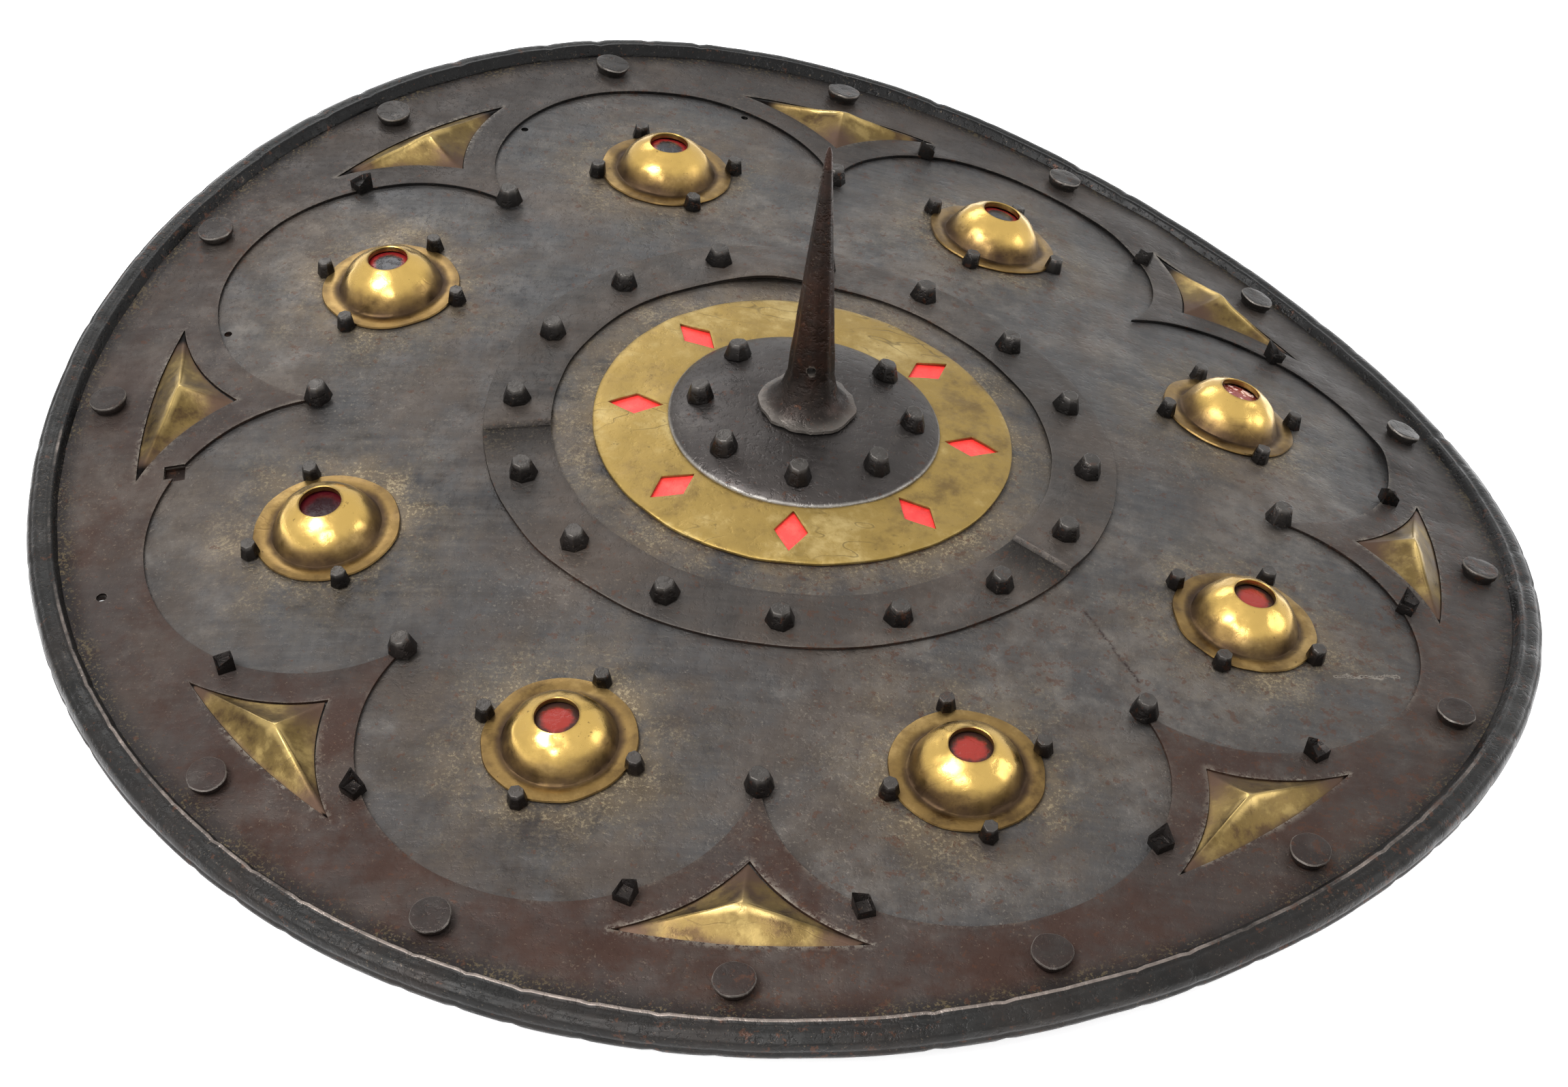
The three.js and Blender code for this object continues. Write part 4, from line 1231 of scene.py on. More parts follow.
@dataclass
class ShieldPlate:
    """The dished plate, with the hammered tails of the rivets on its back."""

    thickness: float = 1.4
    steps: int = 180
    ring_gap: float = 3.4
    tail_radius: float = 4.2
    tail_height: float = 1.6
    halo_width: float = 11.0
    ring_halo_width: float = 12.0

    def rings(self) -> list[float]:
        """Gives the radii of the plate's rings of faces."""
        count = round(PLAN.plate / self.ring_gap)
        return [PLAN.plate * index / count for index in range(count + 1)]

    def build(self, palette: Palette) -> None:
        """Builds the plate with its tails, then dresses it."""
        top = [(radius, 0.0) for radius in self.rings()]
        bottom = [(radius, -self.thickness) for radius in reversed(self.rings())]
        bm = spun(top + bottom, self.steps)
        for face in bm.faces:
            face.material_index = 1 if face.normal.z < -0.5 else 0
        self.mark_halo(bm)
        lay(bm, 0.0)
        for radius, angle, share in self.tails():
            add_piece(bm, self.tail(radius, angle, share), 1)
        self.dress(bm, palette)

    def mark_halo(self, bm: bmesh.types.BMesh) -> None:
        """Writes how strongly the brass polish has stained the iron at each point."""
        stain_and_shade = attribute(bm, "stain_and_shade")
        edge = attribute(bm, "edge")
        centres = [polar(PLAN.boss_circle, PLAN.boss_angle(bay)) for bay in range(PLAN.bays)]
        for vert in bm.verts:
            spot = Vector((vert.co.x, vert.co.y, 0))
            from_boss = min((spot - centre).length for centre in centres) - PLAN.flange
            from_ring = spot.length - PLAN.ring
            around = math.exp(-max(0.0, from_boss) / self.halo_width)
            vert[stain_and_shade] = max(around, math.exp(-max(0.0, from_ring) / self.ring_halo_width))
            vert[edge] = FAR

    def tails(self) -> list[tuple[float, float, float]]:
        """Lists where rivets come through the back: radius, angle and size share."""
        found = []
        for index in range(2 * PLAN.bays):
            found.append((PLAN.band_studs, PLAN.cusp_angle(index / 2), 0.8))
            if index != PLAN.lost_rivet:
                found.append((PLAN.rivet_circle, PLAN.cusp_angle(index / 2), 1.0))
        for bay in range(PLAN.bays):
            found.append((PLAN.disc_studs, PLAN.cusp_angle(bay), 0.75))
            if bay != PLAN.lost_cusp_stud:
                found.append((PLAN.cusp_studs, PLAN.cusp_angle(bay), 0.75))
            for pin in range(PLAN.pins):
                if (bay, pin) != PLAN.lost_pin:
                    spot = polar(PLAN.pin_circle, TURN * pin / PLAN.pins) + Vector((PLAN.boss_circle, 0, 0))
                    found.append((spot.length, PLAN.boss_angle(bay) + math.atan2(spot.y, spot.x), 0.6))
        return found

    def tail(self, radius: float, angle: float, share: float) -> bmesh.types.BMesh:
        """Makes one hammered rivet tail on the back of the plate."""
        wide, high = self.tail_radius * share, self.tail_height * share
        profile = [(0.0, -high), (wide * 0.6, -high * 0.85), (wide * 0.93, -high * 0.4), (wide, 0.2)]
        bm = spun(profile, 10)
        bmesh.ops.reverse_faces(bm, faces=[f for f in bm.faces if f.normal.z > 0])
        seat(bm, radius, angle, -self.thickness)
        return bm

    def dress(self, bm: bmesh.types.BMesh, palette: Palette) -> None:
        """Gives the plate its finishes and the holes of the lost rivet and the lost square studs."""
        used = palette.materials(Finish.FIELD_IRON, Finish.BACK_IRON, Finish.SHADE_PAINTED_IRON)
        piece = finish_piece("shield_plate_sheet", bm, used, "shield_plate")
        # the walls of the holes cut below take the last material, the near-black iron that paints their shade
        pierce(piece, lost_rivet_cutter())
        pierce(piece, notch_cutter())
        for bay, side in PLAN.lost_squares:
            pierce(piece, lost_square_cutter(bay, side))


def square_place(bay: int, side: int, outside: float) -> tuple[float, float]:
    """Gives the place of a square stud, or a place beside it.

    Args:
        bay: which cusp it stands beside.
        side: -1 or 1, the side of the cusp line.
        outside: how far outside the lobe's edge the place is.

    Returns:
        The radius and the angle of the place.
    """
    local = PLAN.lobe_point(-PLAN.square_turn, outside)
    return local.length, PLAN.cusp_angle(bay) + side * math.atan2(local.y, local.x)


def notch_cutter() -> bmesh.types.BMesh:
    """Makes the bar that cuts the notch of a lost square stud, through the border and into the plate."""
    bm = bmesh.new()
    long, wide, tall = PLAN.notch
    bmesh.ops.create_cube(bm, size=1.0, matrix=Matrix.Diagonal((long, wide, tall, 1)))
    radius, angle = square_place(*PLAN.notched_square, PLAN.square_outside)
    seat(bm, radius, angle, tall / 2 - PLAN.mark_depth)
    return bm


def lost_square_cutter(bay: int, side: int) -> bmesh.types.BMesh:
    """Makes the rod that cuts the small hole of a lost square stud in the plate."""
    spot = polar(*square_place(bay, side, -PLAN.mark_inside))
    ground = PLATE.height(spot.x, spot.y)
    return upright_rod(PLAN.mark_radius, spot.x, spot.y, ground - PLAN.mark_depth, ground + 5)


def lost_rivet_cutter() -> bmesh.types.BMesh:
    """Makes the rod that cuts the hole of the lost rivet."""
    spot = polar(PLAN.rivet_circle, PLAN.cusp_angle(PLAN.lost_rivet / 2))
    ground = PLATE.smooth(spot.x, spot.y)
    return upright_rod(PLAN.rivet_hole, spot.x, spot.y, ground - 12, ground + 12)


@dataclass
class Lift:
    """A place where a sheet has sprung away from what it lies on."""

    x: float
    y: float
    reach: float
    height: float

    def at(self, x: float, y: float) -> float:
        """Gives the extra height at a place."""
        away = math.hypot(x - self.x, y - self.y) / self.reach
        return self.height * math.exp(-(away**2) * 2)


@dataclass
class ScallopedBorder:
    """The border with eight lobes and eight three-sided openings, and the square studs on its lobes."""

    thickness: float = 1.2
    lobe_steps: int = 36
    bay_steps: int = 14
    arc_steps: int = 22
    web_rows: int = 5
    rows: int = 11
    square: float = 5.9
    square_height: float = 3.8
    corner_height: float = 7.4
    cove_start: float = 243.0
    cove_height: float = 0.5
    shadow_start: float = 244.5
    shadow_width: float = 5.5
    lobe_wear: float = 1.1
    lifts: Sequence[Lift] = (Lift(124, 202, 20, 2.2), Lift(214, 70, 18, 1.8), Lift(137, 193, 9, 1.2))

    def web_pairs(self) -> list[tuple[Vector, Vector]]:
        """Gives matching points of the lobe's edge and the web's other side, from the cusp's tip on."""
        tip = PLAN.cusp_crossing(0.0)
        apex = PLAN.cusp_crossing(PLAN.web)
        corner = PLAN.opening_corner(PLAN.web, PLAN.opening)
        steps = self.lobe_steps
        angles = [tip + (corner - tip) * index / steps for index in range(steps)]
        angles += [corner * (1 - index / self.bay_steps) for index in range(self.bay_steps + 1)]
        pairs = []
        for angle in angles:
            on_web = PLAN.lobe_point(max(angle, apex), PLAN.web)
            if angle <= apex:
                on_web.y = 0.0
            pairs.append((PLAN.lobe_point(angle), on_web))
        pairs[0][0].y = 0.0
        return pairs

    def outer_pairs(self) -> list[tuple[Vector, Vector]]:
        """Gives matching points of the opening's outer side, or the web beyond, and the plate's edge."""
        web = [pair[1] for pair in self.web_pairs()[self.lobe_steps :]]
        corner = math.atan2(web[0].y, web[0].x)
        steps = self.arc_steps
        inside = [polar(PLAN.opening, corner * index / steps) for index in range(steps)]
        return [(point, point.normalized() * PLAN.plate) for point in inside + web]

    def sheet(self) -> bmesh.types.BMesh:
        """Makes the whole flat border from one half bay."""
        bm = bmesh.new()
        for pairs, rows in ((self.web_pairs(), self.web_rows), (self.outer_pairs(), self.rows)):

            def place(along: float, across: float, pairs: list = pairs) -> Vector:
                """Gives a point between two matching points."""
                near, far = pairs[round(along * (len(pairs) - 1))]
                return near.lerp(far, across)

            add_grid(bm, len(pairs) - 1, rows, place)
        bmesh.ops.remove_doubles(bm, verts=bm.verts[:], dist=0.02)
        repeat_bays(bm, 0.02)
        bmesh.ops.remove_doubles(bm, verts=bm.verts[:], dist=0.05)
        face_up(bm)
        return bm

    def rise(self, x: float, y: float) -> float:
        """Gives the extra height where the border has sprung up or curves up into the rim."""
        radius = math.hypot(x, y)
        cove = self.cove_height * min(1.0, max(0.0, (radius - self.cove_start) / 8)) ** 2
        return cove + sum(lift.at(x, y) for lift in self.lifts)

    def mark_cove(self, bm: bmesh.types.BMesh) -> None:
        """Marks the painted shade in the cove beside the rim and the dark mark of the lost cusp stud."""
        stain_and_shade = attribute(bm, "stain_and_shade")
        edge = attribute(bm, "edge")
        lost = polar(PLAN.cusp_studs, PLAN.cusp_angle(PLAN.lost_cusp_stud))
        for vert in bm.verts:
            # painted shade: the border darkens towards the rim, which shades it
            cove = max(0.0, min(1.0, (vert.co.length - self.shadow_start) / self.shadow_width))
            smudge = math.exp(-(((vert.co - lost).length / 5) ** 2))
            vert[stain_and_shade] = max(cove, smudge)
            vert[edge] += self.lobe_wear * self.lobe_share(vert.co)

    def lobe_share(self, spot: Vector) -> float:
        """Tells the edge of a lobe, as 1, from the edge of an opening, as 0."""
        bays = (math.atan2(spot.y, spot.x) - PLAN.boss_angle(0)) / (2 * PLAN.half_bay)
        near = PLAN.boss_angle(0) + 2 * PLAN.half_bay * round(bays)
        local = Matrix.Rotation(-near, 3, "Z") @ spot
        share = math.hypot((local.x - PLAN.boss_circle) / PLAN.lobe_outward, local.y / PLAN.lobe_sideways)
        return max(0.0, min(1.0, 1 - (share - 1) / 0.07))

    def build(self, palette: Palette) -> None:
        """Builds the border with its square studs, then dresses it."""
        bm = self.sheet()
        measure_edges(bm)
        self.mark_cove(bm)
        thicken(bm, self.thickness, 0.25)
        darken_sides(bm, 2)
        lay(bm, PLAN.on_plate, self.rise)
        for bay in range(PLAN.bays):
            for side in (-1, 1):
                if (bay, side) not in (*PLAN.lost_squares, PLAN.notched_square):
                    add_piece(bm, self.square_stud(bay, side), 1)
        used = palette.materials(Finish.BORDER_IRON, Finish.DARK_IRON, Finish.SHADE_PAINTED_IRON)
        piece = finish_piece("scalloped_border_sheet", bm, used, "scalloped_border")
        pierce(piece, lost_rivet_cutter())
        pierce(piece, notch_cutter())

    def square_stud(self, bay: int, side: int) -> bmesh.types.BMesh:
        """Makes one square stud with its corner turned up.

        Args:
            bay: which cusp it stands beside.
            side: -1 or 1, the side of the cusp line.

        Returns:
            The stud in its place.
        """
        bm = bmesh.new()
        sized = Matrix.Diagonal((self.square, self.square, self.square_height, 1))
        at = Matrix.Translation((0, 0, self.square_height / 2)) @ sized
        bmesh.ops.create_cube(bm, size=1.0, matrix=at)
        top = max(bm.faces, key=lambda face: face.calc_center_median().z)
        bmesh.ops.inset_region(bm, faces=[top], thickness=1.3, depth=-1.6)
        for vert in bm.verts:
            if vert.co.z > 3 and vert.co.x < -1.8 and vert.co.y * -side > 1.8:
                vert.co.z = self.corner_height
        soften(bm, bm.edges[:], 0.22)
        roughen(bm, 0.4, 5.0, bay * 2.1 + side)
        mark_stud(bm, 1.1 * self.corner_height)
        radius, angle = square_place(bay, side, PLAN.square_outside)
        turn = 0.25 * math.sin(bay * 5.1 + side)
        bmesh.ops.rotate(bm, cent=(0, 0, 0), matrix=Matrix.Rotation(turn, 3, "Z"), verts=bm.verts[:])
        seat(bm, radius, angle, PLAN.on_plate + self.thickness / 2)
        return bm


@dataclass
class StuddedBand:
    """The flat iron ring with its laps and its sixteen studs."""

    thickness: float = 1.2
    steps: int = 420
    rows: int = 9
    stud_radius: float = 5.2
    stud_height: float = 6.0
    laps: Sequence[tuple[float, float, float]] = (
        (math.radians(180), 0.14, 1.9),
        (math.radians(-31), 0.17, -1.5),
    )
    lifted: Sequence[Lift] = (Lift(-18.0, 87.0, 22.0, 2.4),)
    lap_dark_reach: float = 0.2

    def rise(self, x: float, y: float) -> float:
        """Gives the extra height at the laps and where the inner edge has sprung up."""
        angle = math.atan2(y, x)
        extra = 0.0
        for start, width, height in self.laps:
            gone = (angle - start) % TURN
            if gone < width:
                share = gone / width
                extra = abs(height) * (share if height > 0 else 1 - share)
        return extra + sum(lift.at(x, y) for lift in self.lifted)

    def mark_laps(self, bm: bmesh.types.BMesh) -> None:
        """Marks a darker strip just beyond each lap and a painted highlight on the raised end of the lap
        itself.
        """
        stain_and_shade = attribute(bm, "stain_and_shade")
        edge = attribute(bm, "edge")
        for vert in bm.verts:
            angle = math.atan2(vert.co.y, vert.co.x)
            for start, width, height in self.laps:
                end = start + width if height > 0 else start
                beyond = ((angle - end) * math.copysign(1.0, height)) % TURN
                # darker just beyond the end of each lap
                if beyond < self.lap_dark_reach:
                    vert[stain_and_shade] = 1 - (beyond / self.lap_dark_reach) ** 2
                # painted highlight: the raised end of the lap takes the light edge colour
                if (-beyond) % TURN < 0.09:
                    vert[edge] = 0.3

    def build(self, palette: Palette) -> None:
        """Builds the band with its studs, then dresses it."""
        width = PLAN.band_outer - PLAN.band_inner

        def place(along: float, across: float) -> Vector:
            """Gives a point of the flat ring; its edges waver a little."""
            angle = TURN * along
            waver = 0.5 * noise.noise(Vector((5 * math.cos(angle), 5 * math.sin(angle), 0.3)))
            radius = PLAN.band_inner + width * across + waver
            return polar(radius, angle)

        bm = bmesh.new()
        add_grid(bm, self.steps, self.rows, place)
        bmesh.ops.remove_doubles(bm, verts=bm.verts[:], dist=0.01)
        face_up(bm)
        measure_edges(bm)
        self.mark_laps(bm)
        thicken(bm, self.thickness, 0.25)
        darken_sides(bm, 2)
        lay(bm, PLAN.on_plate, self.rise)
        for index in range(2 * PLAN.bays):
            piece = stud(self.stud_radius, self.stud_height, 0.62, 7, 0.7 * index + 0.3)
            angle = PLAN.cusp_angle(index / 2)
            spot = polar(PLAN.band_studs, angle)
            top = PLAN.on_plate + self.thickness + self.rise(spot.x, spot.y)
            seat(piece, PLAN.band_studs, angle, top - 0.1)
            add_piece(bm, piece, 1)
        used = palette.materials(Finish.BAND_IRON, Finish.DARK_IRON, Finish.SHADE_PAINTED_IRON)
        finish_piece("studded_band_ring", bm, used, "studded_band")


@dataclass
class BrassRing:
    """The flat brass ring with eight diamonds cut through it, and the red layer behind them."""

    thickness: float = 1.0
    backing: float = 0.6
    half_length: float = 9.5
    half_width: float = 5.7
    from_disc: float = 11.2
    columns: int = 24
    rows: int = 6
    arc_share: float = 0.375

    def half_sector(self) -> Place:
        """Gives the place of each point of the ring beside half a diamond that lies along +X."""
        middle = PLAN.disc + self.from_disc
        tips = [Vector((middle - self.half_length, 0, 0)), Vector((middle, self.half_width, 0))]
        tips.append(Vector((middle + self.half_length, 0, 0)))

        def place(along: float, across: float) -> Vector:
            """Gives a point between the diamond and the half sector's outline."""
            side = 0 if along < 0.5 else 1
            inner = tips[side].lerp(tips[side + 1], 2 * along - side)
            start, end = self.arc_share, 1 - self.arc_share
            outwards = max(0.0, min(1.0, (along - start) / (end - start)))
            turn = PLAN.half_bay * min(1.0, along / start, (1 - along) / start)
            outer = polar(PLAN.ring_hole + (PLAN.ring - PLAN.ring_hole) * outwards, turn)
            return inner.lerp(outer, across)

        return place

    def build(self, palette: Palette) -> None:
        """Builds the ring and its backing, then dresses them."""
        bm = bmesh.new()
        add_grid(bm, self.columns, self.rows, self.half_sector())
        repeat_bays(bm, 0.01)
        bmesh.ops.remove_doubles(bm, verts=bm.verts[:], dist=0.02)
        bmesh.ops.subdivide_edges(bm, edges=bm.edges[:], cuts=1, use_grid_fill=True)
        face_up(bm)
        measure_edges(bm)
        self.mark_groove(bm)
        thicken(bm, self.thickness, 0.3)
        lay(bm, PLAN.on_backing, self.dents)
        brass = palette.materials(Finish.DULL_BRASS)
        finish_piece("brass_ring_sheet", bm, brass, "brass_ring")
        layer = spun(self.backing_profile(), 120, closed=True)
        lay(layer, PLAN.on_plate)
        red = palette.materials(Finish.RED_LAYER)
        finish_piece("red_layer_ring", layer, red, "red_backing")

    def backing_profile(self) -> list[Point]:
        """Gives the red layer's section."""
        radii = [PLAN.ring_hole + index * (PLAN.ring - 1 - PLAN.ring_hole) / 8 for index in range(9)]
        return [(radius, self.backing) for radius in radii] + [(radius, 0.0) for radius in reversed(radii)]

    def mark_groove(self, bm: bmesh.types.BMesh) -> None:
        """Marks where the ring is tarnished: beside the disc and round the diamonds."""
        groove = attribute(bm, "groove")
        edge = attribute(bm, "edge")
        for vert in bm.verts:
            beside_disc = math.exp(-max(0.0, vert.co.length - PLAN.disc) / 1.6)
            vert[groove] = max(0.55 * beside_disc, 0.3 * math.exp(-vert[edge] / 1.2))

    def dents(self, x: float, y: float) -> float:
        """Gives the shallow dents of the ring and its edge bent down at the outside."""
        wave = noise.noise(Vector((x / 11, y / 11, 1.7)))
        edge = max(0.0, math.hypot(x, y) - (PLAN.ring - 2.5)) / 2.5
        return 0.35 * wave - 0.5 * edge**2


# The middle


@dataclass
class DomedDisc:
    """The dark domed disc under the spike, with its eight studs."""

    thickness: float = 1.3
    rise: float = 3.4
    seat_radius: float = 20.3
    stud_radius: float = 5.0
    stud_height: float = 6.0
    lip_start: float = 44.4

    def under(self, x: float, y: float) -> float:
        """Gives the height of the disc's underside."""
        radius = math.hypot(x, y)
        outwards = max(0.0, (radius - self.seat_radius) / (PLAN.disc - self.seat_radius))
        level = PLATE.smooth(0, 0) + PLATE.tipped(x, y)
        base = level + (PLATE.smooth(x, y) - level) * outwards
        return base + PLAN.on_ring + self.rise * (1 - outwards**2)

    def top(self, x: float, y: float) -> float:
        """Gives the height of the disc's upper face."""
        return self.under(x, y) + self.thickness

    def build(self, palette: Palette) -> None:
        """Builds the disc with its studs, then dresses it."""
        rings = [PLAN.disc * index / 16 for index in range(17)]
        bm = spun([(r, self.thickness) for r in rings] + [(r, 0.0) for r in reversed(rings)], 110)
        edge = attribute(bm, "edge")
        for vert in bm.verts:
            vert[edge] = PLAN.disc - math.hypot(vert.co.x, vert.co.y)
        soften(bm, [sharp for sharp in bm.edges if sharp.calc_face_angle(0.0) > 1.0], 0.45)
        for vert in bm.verts:
            x, y, above = vert.co
            wave = 0.25 * noise.noise(Vector((x / 14, y / 14, 6.2)))
            lip = 0.7 * max(0.0, math.hypot(x, y) - self.lip_start) / (PLAN.disc - self.lip_start)
            vert.co.z = self.under(x, y) + above + wave - lip
        for index in range(PLAN.bays):
            piece = stud(self.stud_radius, self.stud_height, 0.6, 8, 1.1 * index + 0.5)
            seat(piece, PLAN.disc_studs, PLAN.cusp_angle(index), -0.1, self.top)
            add_piece(bm, piece, 1)
        used = palette.materials(Finish.DISC_IRON, Finish.DARK_IRON)
        finish_piece("domed_disc_sheet", bm, used, "domed_disc")


@dataclass
class Spike:
    """The forged spike: a flared foot with an uneven edge, a pierced neck and a long slightly bent taper."""

    length: float = 105.0
    waist: float = 8.3
    tip: float = 0.9
    foot: float = 17.5
    foot_height: float = 12.0
    bend: float = -4.0
    hole: float = 1.6
    hole_height: float = 20.0
    gap: float = 0.3
    steps: int = 44
    taper_rings: int = 40

    def profile(self) -> list[Point]:
        """Gives the spike's radius at each height, from the foot's underside to the tip."""
        points = [(0.0, 0.0), (16.4, 0.0), (17.4, 0.5), (17.2, 1.5), (15.4, 2.0), (13.4, 2.8), (11.6, 4.3)]
        points += [(10.4, 6.2), (9.6, 8.4), (9.1, 10.4), (8.8, 12.0)]
        for index in range(1, self.taper_rings):
            share = index / self.taper_rings
            height = self.foot_height + (self.length - self.foot_height) * share
            points.append((self.waist + (self.tip - self.waist) * share**1.06, height))
        return points + [(0.45, self.length - 0.2), (0.0, self.length)]

    def build(self, palette: Palette, disc: DomedDisc) -> None:
        """Builds the spike on the disc, then dresses it."""
        bm = spun(self.profile(), self.steps)
        edge = attribute(bm, "edge")
        for vert in bm.verts:
            radius = math.hypot(vert.co.x, vert.co.y)
            vert[edge] = abs(self.foot - radius) * 0.7
            self.forge(vert)
        self.place(bm, disc)
        piece = finish_piece("forged_spike", bm, palette.materials(Finish.SPIKE_IRON), "spike")
        x = self.bend * (self.hole_height - self.foot_height) / (self.length - self.foot_height)
        height = disc.top(0, 0) + self.gap + self.hole_height
        rod = upright_rod(self.hole, 0, 0, -20, 20)
        turn = Matrix.Rotation(math.pi / 2, 3, "X")
        bmesh.ops.rotate(rod, cent=(0, 0, 0), matrix=turn, verts=rod.verts[:])
        bmesh.ops.translate(rod, vec=(x, 0, height), verts=rod.verts[:])
        pierce(piece, rod)

    def forge(self, vert: bmesh.types.BMVert) -> None:
        """Works the flats of the hammer and the foot's uneven edge into one point."""
        angle = math.atan2(vert.co.y, vert.co.x)
        height = vert.co.z
        above = max(0.0, min(1.0, (height - 6) / 12)) * max(0.0, 1 - height / (self.length * 1.2))
        flats = 1 - 0.055 * above * (1 - math.cos(8 * angle))
        around = Vector((2.1 * math.cos(angle), 2.1 * math.sin(angle), height / 9))
        uneven = 1 + 0.03 * noise.noise(around)
        if height < 2.4:
            ragged = noise.noise(Vector((3.2 * math.cos(angle), 3.2 * math.sin(angle), 0)))
            uneven = min(1.0, 0.965 + 0.09 * ragged)
        vert.co.x *= flats * uneven
        vert.co.y *= flats * uneven

    def place(self, bm: bmesh.types.BMesh, disc: DomedDisc) -> None:
        """Bends the spike a little and stands it on the disc."""
        for vert in bm.verts:
            above = max(0.0, vert.co.z - self.foot_height)
            vert.co.x += self.bend * above / (self.length - self.foot_height)
        seat(bm, 0.0, 0.0, self.gap, disc.top)


# The rim


@dataclass
class RimBinding:
    """The rolled rim: crimped across, lined along, and resting on its two low sides."""

    outer: float = 262.0
    middle: float = 256.5
    steps: int = 540
    crimp_gap: float = 20.5
    ridge: float = 5.7
    cove: float = 254.2

    def profile(self) -> list[Point]:
        """Gives the rim's section: radius, and height from the plate."""
        points = [(251.0, 1.8), (251.1, 2.6), (251.7, 3.3), (252.5, 4.3), (253.3, 5.4), (253.9, 5.95)]
        points += [(254.4, 6.0), (254.9, 5.75), (255.4, 5.3), (256.2, 5.2), (256.9, 5.35), (258.0, 5.3)]
        points += [(259.2, 4.95), (260.1, 4.35), (260.5, 3.75), (261.1, 3.6), (261.7, 2.6), (262.0, 1.2)]
        points += [(262.0, 0.2), (261.5, -0.4), (261.4, -0.9), (261.8, -1.5), (261.6, -2.6), (260.9, -3.7)]
        points += [(259.7, -4.7), (258.2, -5.3), (256.2, -5.4), (254.2, -5.2), (252.7, -4.4), (251.6, -3.2)]
        points += [(251.0, -2.0), (250.95, 0.0)]
        return points

    def build(self, palette: Palette) -> None:
        """Builds the rim, then dresses it."""
        bm = spun(self.profile(), self.steps, closed=True)
        edge = attribute(bm, "edge")
        stain_and_shade = attribute(bm, "stain_and_shade")
        crimps = round(TURN * self.outer / self.crimp_gap)
        for vert in bm.verts:
            x, y, above = vert.co
            angle = math.atan2(y, x)
            radius = math.hypot(x, y)
            level_spot = polar(self.middle, angle)
            ground = PLATE.height(level_spot.x, level_spot.y)
            crimp = self.crimp(angle, crimps)
            inside = 0.65 * crimp if radius < self.outer - 0.05 else 0.5 * crimp
            pull = max(0.0, abs(above) - 1.8) / 4
            wobble = 0.3 * noise.noise(Vector((14 * math.cos(angle), 14 * math.sin(angle), above / 6)))
            # lighter line along the ridge: wear, with a painted highlight that is strongest on the near side
            dull = 0.85 - 0.95 * math.cos(angle + 1.65) + 0.9 * noise.noise(Vector((9 * angle, 2.0, 7.0)))
            vert[edge] = max(0.0, dull) if above > self.ridge else NOT_WORN
            # painted shade on the rim's inner side, which faces the cove
            vert[stain_and_shade] = 0.95 if radius < self.cove and above > 0 else 0.0
            scale = 1 - (inside * 0.5 + max(0.0, wobble)) * (1 if radius > self.middle else -0.4) / radius
            vert.co.x, vert.co.y = x * scale, y * scale
            vert.co.z = ground + above - math.copysign(pull * (inside + abs(wobble)), above)
        finish_piece("rolled_rim", bm, palette.materials(Finish.RIM_IRON), "rim_binding", 55.0)

    def crimp(self, angle: float, count: int) -> float:
        """Gives how deep the nearest crimp across the rim is at an angle."""
        along = (angle / TURN) * count
        shifted = along + 0.22 * noise.noise(Vector((along * 0.9, 0.5, 0.2)))
        away = abs(shifted - round(shifted)) * self.crimp_gap
        return math.exp(-((away / 0.75) ** 2))


# Brass pieces and small fittings


class Jewel(Enum):
    """How the glass of a boss has lasted."""

    WHOLE = Finish.RED_GLASS
    DARK = Finish.DARK_GLASS
    MAROON = Finish.MAROON_GLASS
    BROKEN = Finish.BROKEN_GLASS


